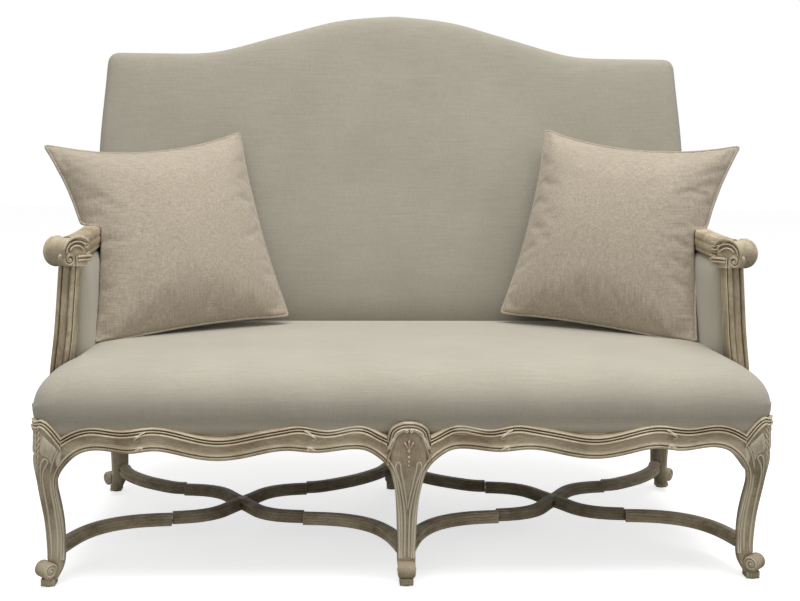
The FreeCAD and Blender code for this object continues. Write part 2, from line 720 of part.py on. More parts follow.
def cushion_frame():
    """Across, up and facing directions of the right cushion, leaning in its corner."""
    turn = math.radians(-cushion_turn)
    lean = math.radians(cushion_lean)
    tilt = math.radians(-cushion_tilt)
    facing = V(math.sin(turn) * math.cos(lean), -math.cos(turn) * math.cos(lean), math.sin(lean))
    level = V(math.cos(turn), math.sin(turn), 0)
    upright = level.cross(facing) * -1
    across = level * math.cos(tilt) + upright * math.sin(tilt)
    up = upright * math.cos(tilt) - level * math.sin(tilt)
    return across, up, facing


def cushion_ring(half, pinch, height):
    """A square outline whose four sides draw in between the corners."""
    across, up, facing = cushion_frame()
    centre = V(*cushion_centre) + facing * height
    at = lambda a, b: centre + across * a + up * b
    corners = [(half, -half), (half, half), (-half, half), (-half, -half)]
    middles = [(half - pinch, 0), (0, half - pinch), (-half + pinch, 0), (0, -half + pinch)]
    edges = []
    for i in range(4):
        edges.append(Part.Arc(at(*corners[i]), at(*middles[i]), at(*corners[(i + 1) % 4])).toShape())
    return Part.Wire(edges)


def cushion(grow):
    """The crowned cushion, grown outwards by a cloth thickness or left as its insert."""
    half = cushion_side / 2 + grow
    thick = cushion_half_thickness + grow
    edge = cushion_edge + grow
    rings = [(half * share, cushion_pinch * draw, edge + (thick - edge) * rise)
             for share, rise, draw in cushion_crown]
    faces = [loft([cushion_ring(h, p, sign * t) for h, p, t in rings]) for sign in (-1, 1)]
    band = loft([cushion_ring(half, cushion_pinch, t) for t in (-edge, edge)], True)
    return joined(band, *faces)


def piping():
    """The four sides of the round cord along the cushion's seam."""
    path = cushion_ring(cushion_side / 2 + fabric + piping_radius * 0.6, cushion_pinch, 0)
    cords = []
    for edge in path.Edges:
        corner = edge.valueAt(edge.FirstParameter)
        section = Part.Wire(Part.makeCircle(piping_radius, corner, edge.tangentAt(edge.FirstParameter)))
        cords.append(Part.Wire([edge]).makePipeShell([section], True, False))
    return cords


def arm_side():
    """All that lies outside the right arm's inner face and below its top, where no cushion can be."""
    x = arm_panel_crown - 4.5
    top = [V(x, y, z + 2.0) for _, y, z in arm_rail_line]
    points = [V(x, top[0].y - 60, 300), V(x, top[0].y - 60, top[0].z)] + top
    points += [V(x, top[-1].y + 100, top[-1].z), V(x, top[-1].y + 100, 300)]
    return prism(points, V(200, 0, 0))


def kept_clear(soft, obstacles, distance):
    """Flatten a soft piece where it rests: each obstacle is moved that far towards it first."""
    moved = [shape.translated(direction * distance) for shape, direction in obstacles]
    return max(soft.cut(moved).Solids, key=lambda solid: solid.Volume)


# Springs and cloth inside

def sinuous_spring(x):
    """One zigzag seat spring running from the front rail to the rear rail."""
    start = rail_inner_y - 12
    end = rear_rail_inner + 12
    z = rail_top + spring_wire + 0.1
    pitch = (end - start) / (2 * spring_waves)
    radius = pitch / 2
    edges = []
    y = start
    swing = spring_half_wave - radius
    point = V(x, y, z)
    for i in range(2 * spring_waves):
        sign = 1 if i % 2 == 0 else -1
        out = V(x + sign * swing, y, z)
        if (out - point).Length > 0.01:
            edges.append(Part.LineSegment(point, out).toShape())
        bend = V(x + sign * (swing + radius), y + radius, z)
        point = V(x + sign * swing, y + pitch, z)
        edges.append(Part.Arc(out, bend, point).toShape())
        y += pitch
    edges.append(Part.LineSegment(point, V(x, y, z)).toShape())
    path = Part.Wire(edges)
    first = edges[0]
    normal = first.tangentAt(first.FirstParameter)
    section = Part.Wire(Part.makeCircle(spring_wire, first.valueAt(first.FirstParameter), normal))
    return path.makePipeShell([section], True, False)


def spring_places():
    places = []
    for side in (-1, 1):
        for i in range(springs_per_bay):
            places.append(side * (cross_rail_half + (side_rail_inner - cross_rail_half)
                                  * (i + 0.5) / springs_per_bay))
    return places


def main():
    os.makedirs("parts", exist_ok=True)

    # Rails, their mortises and the blocks behind them
    rail = front_rail()
    side = side_rail()
    rear = rear_rail()
    mortises_front = front_tenons(fit_gap)
    mortises_side = side_tenons(fit_gap)
    mortises_rear = rear_tenons(fit_gap)
    mortises_cross = cross_tenons(fit_gap)
    blocks = []
    screws = []
    for corner, tx, ty in [((side_rail_inner, rail_inner_y), -1, 1),
                           ((side_rail_inner, rear_rail_inner), -1, -1),
                           ((cross_rail_half, rail_inner_y), 1, 1),
                           ((cross_rail_half, rear_rail_inner), 1, -1)]:
        block, pair = block_and_screws(corner, tx, ty)
        blocks.append(block)
        screws += pair
    leg_right = front_corner.cut(mortises_front + mortises_side)
    rear_leg_right = rear_corner.cut(mortises_side + mortises_rear)
    leg_middle = front_centre.cut(mortises_front + [mirrored(m) for m in mortises_front] + mortises_cross)
    rear_leg_middle = rear_centre.cut(mortises_rear + [mirrored(m) for m in mortises_rear] + mortises_cross)
    rail = rail.cut([front_corner, front_centre]).fuse(front_tenons(0))
    rail = rail.removeSplitter()
    side = side.cut([front_corner, rear_corner]).fuse(side_tenons(0)).removeSplitter()
    rear = rear.cut([rear_corner, rear_centre]).fuse(rear_tenons(0)).removeSplitter()
    blocks = [b.cut([leg_right, rear_leg_right, leg_middle, rear_leg_middle] + screws) for b in blocks]
    rail = rail.cut(screws)
    side = side.cut(screws)
    rear = rear.cut(screws)
    cross = cross_rail.cut(screws + [mirrored(s) for s in screws])

    save_pair("front_leg", leg_right)
    save_pair("rear_leg", rear_leg_right)
    save("front_leg_centre", [leg_middle])
    save("rear_leg_centre", [rear_leg_middle])
    save_pair("front_rail", rail)
    save_pair("side_rail", side)
    save_pair("rear_rail", rear)
    save("cross_rail", [cross])
    save("corner_blocks", blocks + [mirrored(b) for b in blocks])
    save("block_screws", screws + [mirrored(s) for s in screws])
    pads = [(foot_half_spacing, 0), (-foot_half_spacing, 0), (0, -centre_foot_forward),
            (rear_foot_half_spacing, rear_foot_y), (-rear_foot_half_spacing, rear_foot_y), (0, rear_foot_y)]
    save("nail_glides", [Part.makeCylinder(glide_radius, glide_thickness, V(x, y, 0)) for x, y in pads])

    # Stretchers
    middle_hub = hub()
    save_pair("stretcher_hub", middle_hub)
    ends = {"front_outer": ((front_ankle[0] + 2, front_ankle[1] + 12), front_arm_bend),
            "front_inner": ((16.0, front_centre_ankle.y + 8), front_arm_bend),
            "rear_outer": ((rear_ankle[0] - 10, rear_ankle[1] - 10), rear_arm_bend),
            "rear_inner": ((16.0, rear_centre_ankle.y - 8), rear_arm_bend)}
    all_legs = [leg_right, rear_leg_right, leg_middle, rear_leg_middle]
    for name, (end, bend) in ends.items():
        save_pair("stretcher_" + name, stretcher_arm(end, bend).cut(all_legs + [middle_hub]))

    # Arms
    arm = arm_rail()
    post = stump(arm)
    save_pair("arm_rail", arm)
    save_pair("arm_stump", post)
    side_zone = box(arm_panel_outer, 800, 60, 700, 200, arm_rail_underside(560) + arm_rail_height / 2)
    deck = box(-800, 800, 300, 700, 200, rail_top + clip_size[2] + rest_gap)
    arm_zone = [arm, mirrored(arm), side_zone, mirrored(side_zone), deck]

    # Back
    upright = back_post()
    save_pair("back_post", upright)
    rail_over = top_rail()
    save("back_top_rail", [rail_over])
    inner_half = frame_half - post_width
    bottom_rail = back_board(-inner_half, inner_half, frame_front_depth, frame_back_depth, 20, 80)
    save("back_bottom_rail", [bottom_rail])
    muntin = back_board(-25, 25, frame_front_depth, frame_back_depth, 80, shoulder_height + 20)
    save("back_muntin", [muntin.cut(rail_over)])
    pad_back = frame_front_depth - webbing_thickness - hessian_thickness
    back_inner = back_body(fabric, pad_back)
    save("back_pad", [back_inner.cut(arm_zone)])
    wrap = Part.Face(back_outline(fabric, pad_back)).extrude(back_point(0, 200, 0) - back_point(0, 0, 0))
    back_shell = back_body(0, frame_back_depth).cut([back_inner, wrap] + arm_zone)
    save("back_cover", [back_shell])
    rear_skin = Part.Face(back_outline(1.0, frame_back_depth))
    rear_skin = rear_skin.extrude(back_point(0, fabric, 0) - back_point(0, 0, 0))
    save("outside_back_cover", [rear_skin.cut(box(-800, 800, 300, 800, 200, rail_top + 0.2))])
    outside = outside_arm_panel().cut([arm, post, rear_skin])
    save_pair("outside_arm_cover", max(outside.Solids, key=lambda solid: solid.Volume))
    straps = []
    for i in range(8):
        x = -inner_half + (i + 0.5) * 2 * inner_half / 8
        height = shoulder_height + (hump_rise - 20 if abs(x) < 200 else -10)
        straps.append(back_board(x - 25, x + 25, frame_front_depth - webbing_thickness, frame_front_depth,
                                 30, height))
    save("back_webbing", straps)
    hessian = back_board(-inner_half - 20, inner_half + 20, pad_back, frame_front_depth - webbing_thickness,
                         25, shoulder_height - 12)
    save("back_hessian", [hessian.cut([arm, mirrored(arm)])])

    # Inner arm panels
    inner_pad = arm_pad(fabric, arm_panel_outer)
    panel_cover = arm_pad(0, arm_panel_outer).cut([inner_pad, arm, post])
    save_pair("arm_pad", inner_pad.cut([arm, post]))
    save_pair("arm_cover", panel_cover)

    # Seat
    pad_bottom = seat_rings[2][0]
    solid_seat = seat_body(0, seat_rings[0][0])
    inner_seat = seat_body(fabric, pad_bottom)
    well = box(-side_rail_outer + moulding_depth, side_rail_outer - moulding_depth,
               rail_face_y + moulding_depth, rear_rail_outer, 200, pad_bottom)
    hem = box(-800, 800, rail_inner_y, rear_rail_outer, 200, rail_top + 0.2)
    frame_parts = [leg_right, mirrored(leg_right), leg_middle, rail, mirrored(rail), side, mirrored(side),
                   post, mirrored(post)]
    save("seat_pad", [inner_seat.cut([post, mirrored(post)])])
    cover = solid_seat.cut([inner_seat, well, hem] + frame_parts)
    save("seat_cover", [cover])
    springs = [sinuous_spring(x) for x in spring_places()]
    save("seat_springs", springs)
    clips = []
    width, length, height = clip_size
    for x in spring_places():
        for y in (rail_inner_y - 18, rear_rail_inner + 8):
            block = box(x - width / 2, x + width / 2, y - length / 2, y + length / 2, rail_top, rail_top + height)
            clips.append(block)
    clips = [c.cut(springs) for c in clips]
    save("spring_clips", clips)
    cloth_top = rail_top + 2 * spring_wire + 0.4
    deck_cloth = box(-side_rail_inner + 6, side_rail_inner - 6, rail_inner_y + 2, rear_rail_inner - 5,
                     cloth_top, cloth_top + hessian_thickness)
    save("seat_hessian", [deck_cloth.cut([upright, mirrored(upright)])])
    lining = box(-side_rail_inner + 0.3, side_rail_inner - 0.3, rail_inner_y + 0.3, rear_rail_inner - 0.3,
                 under_cloth - 0.5, under_cloth + 0.7)
    save("dust_cover", [lining.cut(all_legs + [mirrored(leg_right), mirrored(rear_leg_right)])])

    # Loose cushions, flattened where they rest on the seat, the back and the arm
    seat_up = V(0, 0, 1)
    back_out = V(0, -cos_rake, sin_rake)
    inwards = V(-1, 0, 0)
    obstacles = [(solid_seat, seat_up), (back_body(0, frame_back_depth), back_out),
                 (arm_side(), inwards + seat_up)]
    insert = kept_clear(cushion(0), obstacles, fabric + rest_gap)
    outer = kept_clear(cushion(fabric), obstacles, rest_gap)
    for cord in piping():
        outer = outer.fuse(kept_clear(cord, obstacles, 4 * rest_gap))
    save_pair("cushion_cover", outer.cut(insert))
    save_pair("cushion_insert", insert)


main()
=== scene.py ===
import math

import bmesh
import bpy
import numpy as np
from mathutils import Matrix, Vector
from mathutils.bvhtree import BVHTree


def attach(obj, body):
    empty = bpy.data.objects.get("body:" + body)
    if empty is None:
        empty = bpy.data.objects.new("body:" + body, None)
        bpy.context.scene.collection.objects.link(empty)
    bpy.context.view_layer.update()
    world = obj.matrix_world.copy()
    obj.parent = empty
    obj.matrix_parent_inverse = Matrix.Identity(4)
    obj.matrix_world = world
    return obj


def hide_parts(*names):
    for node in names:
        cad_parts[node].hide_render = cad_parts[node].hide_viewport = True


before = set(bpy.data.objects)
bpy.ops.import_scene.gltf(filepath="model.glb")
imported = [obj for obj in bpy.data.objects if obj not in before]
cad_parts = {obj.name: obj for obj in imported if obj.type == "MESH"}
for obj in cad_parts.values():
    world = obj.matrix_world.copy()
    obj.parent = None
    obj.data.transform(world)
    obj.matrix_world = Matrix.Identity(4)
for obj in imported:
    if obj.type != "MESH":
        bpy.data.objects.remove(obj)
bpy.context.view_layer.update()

# Sizes are in millimetres. Y is counted from the line of the front foot pads, as in the part's own source,
# and at() moves a point to the part's frame in metres.
MM = 0.001
MIDDLE_Y = 347.93

RAIL_TOP = 340.0
SEAT_CROWN = 452.0
SEAT_BACK_Y = 500.0
SEAT_BACK_Z = 445.0
RAKE = math.radians(13.0)
FRONT_RAIL_INNER = 11.0
SIDE_RAIL_INNER = 668.0
BAY_START = 42.0
BAY_END = 655.0
FRONT_ANKLE = (682.0, 14.0)
REAR_ANKLE = (672.0, 592.0)
FRONT_PAD = (700.0, 0.0)
REAR_PAD = (690.0, 619.0)
REAR_SWAY = 0.75
# Upper edge of the front moulding: distance from the middle, height
RAIL_EDGE = [(42, 311.3), (58, 319.5), (77, 328.5), (100, 332), (157, 323.8), (207, 332.5), (238, 328.8),
             (295, 317.5), (361, 306.6), (430, 320), (486, 330.5), (541, 325.2), (597, 331), (618, 327.9),
             (639, 320), (655, 311)]
# Front of the rail: distance from the middle, distance forward of the foot line
RAIL_FACE = [(42, 61), (60, 58.5), (90, 56), (218, 61), (357, 54), (515, 61), (655, 56)]
FRIEZE_DEPTH = 1.5
COVE = 1.8
# Lower edge of the rail, from the middle leg to the corner leg
RAIL_LOW = [(38, 246), (45, 256), (59, 270), (80, 281.5), (110, 284.5), (177, 278.7), (230, 283.5),
            (306, 270), (365, 262.5), (430, 273), (487, 283.5), (526, 279.3), (594, 285.6), (620, 279),
            (640, 264.5), (654, 249), (668, 230)]
# Edge of the middle leg from its foot up to the rail, and of the corner leg from the rail down to its foot
MIDDLE_EDGE = [(16, 55), (16.5, 86), (17.5, 118), (19, 150), (23, 186), (28.5, 218), (35, 240), (43, 254)]
CORNER_EDGE = [(668, 226), (672, 208), (672.5, 190), (671, 172), (668.5, 140), (667, 107), (667.5, 75),
               (669, 52)]
# Section of the beads along the lower edge, as (distance in from the edge, relief)
EDGE_BEADS = [(0.0, -6.0), (0.3, -1.6), (2.0, 1.0), (4.6, 1.9), (6.8, 0.8), (7.6, -1.8), (8.4, 0.8),
              (10.2, 2.2), (12.0, 1.2), (12.9, -1.8), (13.6, -5.0)]

# Carved strands of the upper edge, as (distance down from the edge, relief)
STRANDS = [(0.0, -4.0), (0.2, 0.4), (1.0, 2.4), (2.3, 3.3), (3.5, 2.6), (4.4, 0.8), (5.0, -2.2), (5.7, 0.6),
           (6.6, 2.3), (7.8, 3.0), (8.9, 2.3), (9.7, 0.6), (10.3, -2.4), (11.0, 0.8), (12.0, 3.6),
           (13.5, 5.0), (15.0, 4.4), (16.2, 2.2), (16.9, -0.6), (17.1, -4.0)]


# Small tools

def at(x, y, z):
    return Vector((x, y - MIDDLE_Y, z)) * MM


def smooth_line(points, count):
    """Points spaced evenly along a smooth curve through the given ones."""
    p = np.array([tuple(q) for q in points], float)
    t = np.concatenate([[0.0], np.cumsum(np.linalg.norm(np.diff(p, axis=0), axis=1))])
    h = np.diff(t)
    n = len(p)
    a = np.eye(n)
    b = np.zeros_like(p)
    for i in range(1, n - 1):
        a[i, i - 1:i + 2] = h[i - 1], 2 * (h[i - 1] + h[i]), h[i]
        b[i] = 6 * ((p[i + 1] - p[i]) / h[i] - (p[i] - p[i - 1]) / h[i - 1])
    m = np.linalg.solve(a, b)
    u = np.linspace(0, t[-1], count)
    k = np.clip(np.searchsorted(t, u, side="right") - 1, 0, n - 2)
    d = (u - t[k])[:, None]
    w = h[k][:, None]
    bend = 2 * m[k] + m[k + 1]
    slope = (p[k + 1] - p[k]) / w - w * bend / 6
    return p[k] + d * slope + d ** 2 * m[k] / 2 + d ** 3 * (m[k + 1] - m[k]) / (6 * w)


SMOOTHED = {}


def along(table, x, column=1):
    """A value read smoothly from a column of a table."""
    if id(table) not in SMOOTHED:
        SMOOTHED[id(table)] = smooth_line(table, 400)
    line = SMOOTHED[id(table)]
    return float(np.interp(x, line[:, 0], line[:, column]))


def straight(table, x):
    """A value read from a table of pairs by straight lines."""
    return float(np.interp(x, [row[0] for row in table], [row[1] for row in table]))


def eased(line, count):
    return [tuple(p) for p in smooth_line(line, count)]


def directions(points):
    """The direction of a line at each of its points."""
    p = [Vector(q) for q in points]
    return [(after - before).normalized() for before, after in zip(p[:1] + p[:-1], p[1:] + p[-1:])]


def smooth_step(share):
    share = min(1.0, max(0.0, share))
    return share * share * (3 - 2 * share)


def loft(bm, rings, ends=True):
    """Extrude a closed ring of points through all the following rings."""
    verts = [bm.verts.new(p) for p in rings[0]]
    edges = [bm.edges.new(pair) for pair in zip(verts, verts[1:] + verts[:1])]
    if ends:
        bm.faces.new(verts[::-1])
    for ring in rings[1:]:
        made = bmesh.ops.extrude_edge_only(bm, edges=edges)["geom"]
        new = {g for g in made if isinstance(g, bmesh.types.BMVert)}
        verts = [next(e.other_vert(v) for e in v.link_edges if e.other_vert(v) in new) for v in verts]
        for v, p in zip(verts, ring):
            v.co = p
        edges = [bm.edges.get(pair) for pair in zip(verts, verts[1:] + verts[:1])]
    if ends:
        bm.faces.new(verts)


def lofted(rings):
    bm = bmesh.new()
    loft(bm, rings)
    return bm


def face_outwards(bm):
    bmesh.ops.recalc_face_normals(bm, faces=bm.faces)
    if bm.calc_volume(signed=True) < 0:
        bmesh.ops.reverse_faces(bm, faces=bm.faces)


def add_object(name, data):
    thing = bpy.data.objects.new(name, data)
    bpy.context.scene.collection.objects.link(thing)
    return thing


def object_from(name, bm):
    """A new object with the shape of a bmesh, which is freed."""
    mesh = bpy.data.meshes.new(name)
    bm.to_mesh(mesh)
    bm.free()
    return add_object(name, mesh)


def finish_piece(name, bm, material, body="frame", replaces=(), sharp=35.0, smooth=0):
    """Turn a bmesh into a finished piece of the settee."""
    bmesh.ops.remove_doubles(bm, verts=bm.verts, dist=1e-6)
    face_outwards(bm)
    piece = object_from(name, bm)
    piece.data.materials.append(material)
    piece.data.shade_smooth()
    if sharp:
        piece.data.set_sharp_from_angle(angle=math.radians(sharp))
    if smooth:
        soft = piece.modifiers.new("smooth", "SUBSURF")
        soft.levels = smooth
        soft.render_levels = smooth
    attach(piece, body)
    if replaces:
        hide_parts(*replaces)
    return piece


def add_tube(bm, points, radius, taper=0.0):
    """A round bead along points, thinner at its ends by the taper."""
    sides = 8
    p = [Vector(q) for q in points]
    n = len(p)
    rings = []
    across = None
    for i, (q, t) in enumerate(zip(p, directions(p))):
        across = t.orthogonal() if across is None else across - t * across.dot(t)
        across.normalize()
        up = t.cross(across)
        edge = min(i, n - 1 - i) / max(1.0, 0.18 * n)
        r = radius * MM * (1 - taper * (1 - min(1.0, edge)) ** 2)
        angles = [2 * math.pi * k / sides for k in range(sides)]
        rings.append([q + (across * math.cos(a) + up * math.sin(a)) * r for a in angles])
    loft(bm, rings)


def add_lump(bm, place, size, turn=Matrix.Identity(3)):
    """An egg-shaped lump: place and half sizes in millimetres, turned by a matrix."""
    scale = Matrix.Diagonal((size[0] * MM, size[1] * MM, size[2] * MM, 1.0))
    bmesh.ops.create_icosphere(bm, subdivisions=2, radius=1.0,
                               matrix=Matrix.Translation(place) @ turn.to_4x4() @ scale)


def add_mesh(bm, other):
    """Copy one bmesh into another."""
    spare = bpy.data.meshes.new("spare")
    other.to_mesh(spare)
    bm.from_mesh(spare)
    bpy.data.meshes.remove(spare)


def mirrored(bm):
    """The same shape on the other side of the settee."""
    other = bm.copy()
    bmesh.ops.scale(other, vec=(-1, 1, 1), verts=other.verts)
    bmesh.ops.reverse_faces(other, faces=other.faces)
    return other


def rounded_square(x, y, z, width, depth, radius, own=None):
    """A ring of points round a square with rounded corners; own gives corners a radius of their own."""
    steps = 6
    points = []
    for cx, cy, start in [(1, -1, -90), (1, 1, 0), (-1, 1, 90), (-1, -1, 180)]:
        r = (own or {}).get((cx, cy), radius)
        middle_x = x + cx * (width / 2 - r)
        middle_y = y + cy * (depth / 2 - r)
        for k in range(steps + 1):
            a = math.radians(start + 90 * k / steps)
            points.append(at(middle_x + r * math.cos(a), middle_y + r * math.sin(a), z))
    return points


# Materials

class Nodes:
    """The nodes of a material or a world."""

    def __init__(self, owner):
        owner.use_nodes = True
        self.owner = owner
        self.nodes = owner.node_tree.nodes
        self.links = owner.node_tree.links

    def give(self, socket, value):
        """Link a socket to another node's output, or set its value."""
        if isinstance(value, bpy.types.NodeSocket):
            self.links.new(value, socket)
        elif socket.type == "RGBA":
            socket.default_value = (*value, 1.0)
        else:
            socket.default_value = value

    def add(self, kind, result, inputs, **settings):
        """A new node with its settings and inputs; returns one of its outputs."""
        node = self.nodes.new("ShaderNode" + kind)
        for name, value in settings.items():
            setattr(node, name, value)
        for name, value in inputs.items():
            self.give(node.inputs[name], value)
        return node.outputs[result]


class Finish(Nodes):
    """A procedural material that follows the piece it is on."""

    def __init__(self, name):
        super().__init__(bpy.data.materials.new(name))
        self.shader = self.nodes["Principled BSDF"]
        self.place = self.nodes.new("ShaderNodeTexCoord").outputs["Object"]

    def noise(self, scale, detail, roughness=0.55, stretch=(1, 1, 1)):
        stretched = self.add("Mapping", "Vector", {"Vector": self.place, "Scale": stretch})
        return self.add("TexNoise", "Fac", {"Scale": scale, "Detail": detail, "Roughness": roughness,
                                            "Vector": stretched})

    def ramp(self, value, stops):
        """Colours, or shades of grey, read by a value."""
        ramp = self.nodes.new("ShaderNodeValToRGB")
        while len(ramp.color_ramp.elements) < len(stops):
            ramp.color_ramp.elements.new(0.5)
        for element, (place, color) in zip(ramp.color_ramp.elements, stops):
            element.position = place
            element.color = (*(color if isinstance(color, tuple) else (color,) * 3), 1.0)
        self.give(ramp.inputs["Fac"], value)
        return ramp.outputs["Color"]

    def mix(self, factor, a, b, blend="MIX"):
        return self.add("Mix", "Result", {"Factor": factor, "A": a, "B": b}, data_type="RGBA",
                        blend_type=blend)

    def math(self, operation, a, b):
        return self.add("Math", "Value", {0: a, 1: b}, operation=operation)

    def openness(self, distance, inside):
        """How open the surface is nearby: low in grooves, or on ridges when looked at from inside."""
        return self.add("AmbientOcclusion", "AO", {"Distance": distance}, samples=8, inside=inside)

    def done(self, height=None, strength=0.0, distance=0.0, **inputs):
        """Set the shader's inputs, with a bump from a height where there is one."""
        if height is not None:
            bump = self.add("Bump", "Normal", {"Height": height, "Strength": strength, "Distance": distance})
            self.give(self.shader.inputs["Normal"], bump)
        for name, value in inputs.items():
            self.give(self.shader.inputs[name.replace("_", " ")], value)
        return self.owner


def varied(color, spread):
    """A darker and a lighter tone of a colour."""
    return tuple(c * (1 - spread) for c in color), tuple(min(1.0, c * (1 + spread)) for c in color)


def limed_oak(name, grain, tone):
    """Weathered, limed oak with brown worn patches: pale on the ridges, partly wear and partly a painted
    highlight, and dark in the grooves, painted shade with some dirt.
    """
    oak = Finish(name)
    stretch = {"x": (0.06, 1, 1), "y": (1, 0.06, 1), "z": (1, 1, 0.06)}[grain]

    def toned(*color):
        return tuple(c * tone for c in color)

    fine = oak.noise(900, 3, 0.6, stretch)
    broad = oak.noise(60, 5, 0.65, tuple(0.4 if v == 1 else 0.12 for v in stretch))
    body = oak.ramp(broad, [(0.30, toned(0.270, 0.212, 0.134)), (0.50, toned(0.450, 0.385, 0.268)),
                            (0.72, toned(0.610, 0.545, 0.410))])
    worn = oak.ramp(oak.noise(16, 4, 0.6), [(0.50, 0.0), (0.66, 0.60)])
    body = oak.mix(worn, body, toned(0.260, 0.180, 0.102))
    streak = oak.ramp(fine, [(0.38, (0.62, 0.58, 0.52)), (0.62, 1.0)])
    body = oak.mix(0.75, body, streak, "MULTIPLY")
    lime = oak.ramp(oak.noise(420, 2, 0.5), [(0.60, 0.0), (0.74, 0.5)])
    body = oak.mix(lime, body, toned(0.56, 0.53, 0.45))
    # Convex ridges are painted paler: partly wear of the liming, partly a painted highlight.
    worn_ridge_highlight = oak.ramp(oak.openness(0.0035, True), [(0.25, 0.8), (0.75, 0.0)])
    body = oak.mix(worn_ridge_highlight, body, toned(0.68, 0.62, 0.49))
    # Grooves and hollows are multiplied darker: painted shade where the carving shades itself, with some dirt
    # in them.
    groove_shade_and_dirt = oak.ramp(oak.openness(0.009, False), [(0.28, (0.24, 0.18, 0.11)), (0.60, (0.70, 0.63, 0.52)),
                                                   (0.88, 1.0)])
    body = oak.mix(0.90, body, groove_shade_and_dirt, "MULTIPLY")
    return oak.done(fine, 0.35, 0.0006, Base_Color=body, Roughness=0.62)


def linen(name, color, weave=1500.0, slub=0.09, sheen=0.25, shade_to_seat=False):
    """Plain-weave linen with faint slubs both ways; the last switch paints shade that darkens it lower down,
    towards the fold over the seat.
    """
    cloth = Finish(name)
    upright = cloth.noise(520, 4, 0.6, (1, 0.6, 0.03))
    level = cloth.noise(520, 4, 0.6, (0.03, 0.6, 1))
    slubs = cloth.math("MULTIPLY", cloth.math("ADD", upright, level), 0.5)
    low, high = varied(color, slub)
    body = cloth.ramp(slubs, [(0.36, low), (0.50, color), (0.64, high)])
    dull = cloth.ramp(cloth.noise(7, 3, 0.5), [(0.3, (0.95, 0.95, 0.945)), (0.7, 1.03)])
    body = cloth.mix(1.0, body, dull, "MULTIPLY")
    # Painted shade: the cloth is darkened by height, most where the back meets the seat.
    if shade_to_seat:
        height = cloth.add("SeparateXYZ", "Z", {"Vector": cloth.place})
        seat_shade = cloth.ramp(height, [(0.452, (0.56, 0.55, 0.52)), (0.510, (0.85, 0.845, 0.83)),
                                     (0.570, (0.95, 0.95, 0.945)), (0.680, 1.0)])
        body = cloth.mix(1.0, body, seat_shade, "MULTIPLY")
    threads = []
    for stretch, way in (((1, 0, 0), "X"), ((0, 0, 1), "Z")):
        across = cloth.add("Mapping", "Vector", {"Vector": cloth.place, "Scale": stretch})
        threads.append(cloth.add("TexWave", "Fac", {"Vector": across, "Scale": weave / 6.283},
                                 bands_direction=way))
    height = cloth.math("ADD", cloth.math("MULTIPLY", *threads), slubs)
    return cloth.done(height, 0.20, 0.0005, Base_Color=body, Roughness=0.9, Specular_IOR_Level=0.2,
                      Sheen_Weight=sheen, Sheen_Roughness=0.5)


def plain(name, color, roughness=0.6, metallic=0.0, scale=80.0, spread=0.18):
    """A hidden or small part's own finish, with a little variation."""
    finish = Finish(name)
    low, high = varied(color, spread)
    body = finish.ramp(finish.noise(scale, 4), [(0.35, low), (0.65, high)])
    return finish.done(Base_Color=body, Roughness=roughness, Metallic=metallic)


oak_upright = limed_oak("limed oak, upright grain", "z", 1.12)
oak_across = limed_oak("limed oak, grain along the rail", "x", 1.28)
oak_deep = limed_oak("limed oak, grain front to back", "y", 1.12)
# The stretchers' oak is a darker copy of the same wood: painted shade on the hub and rear bars under the
# seat.
oak_low_shaded = limed_oak("limed oak, stretchers, painted shade", "x", 0.92)
settee_linen = linen("settee linen", (0.435, 0.402, 0.330))
# The back's linen is a darker copy of the settee linen, a painted shade, and it also darkens towards the seat
# by painted shade.
back_linen_shaded = linen("back linen, painted shade", (0.352, 0.324, 0.262), shade_to_seat=True)
cushion_linen = linen("cushion linen", (0.400, 0.343, 0.268), 1200.0, 0.24)
beech = plain("plain beech", (0.42, 0.28, 0.16), 0.55, 0.0, 40.0, 0.25)
steel = plain("plain steel", (0.35, 0.35, 0.36), 0.4, 1.0)
cambric = linen("black cambric", (0.02, 0.02, 0.021), 2500.0, 0.3, 0.1)


# Legs

def leg_rings(stations, radius, back=0):
    """Rounded square sections through stations of (z, x, y, width, depth, radius of the outer corner)."""
    line = smooth_line(stations, 400)
    rings = []
    for z in np.linspace(stations[0][0], stations[-1][0], 62):
        x, y, width, depth, outer = (float(np.interp(z, line[:, 0], line[:, k])) for k in range(1, 6))
        own = None
        if back:
            slim = float(np.interp(z, [225, 290], [0.76, 0.2]))
            own = {(1, back): outer, (-1, -back): slim * width}
        rings.append(rounded_square(x, y, z, width, depth, depth * radius, own))
    return rings


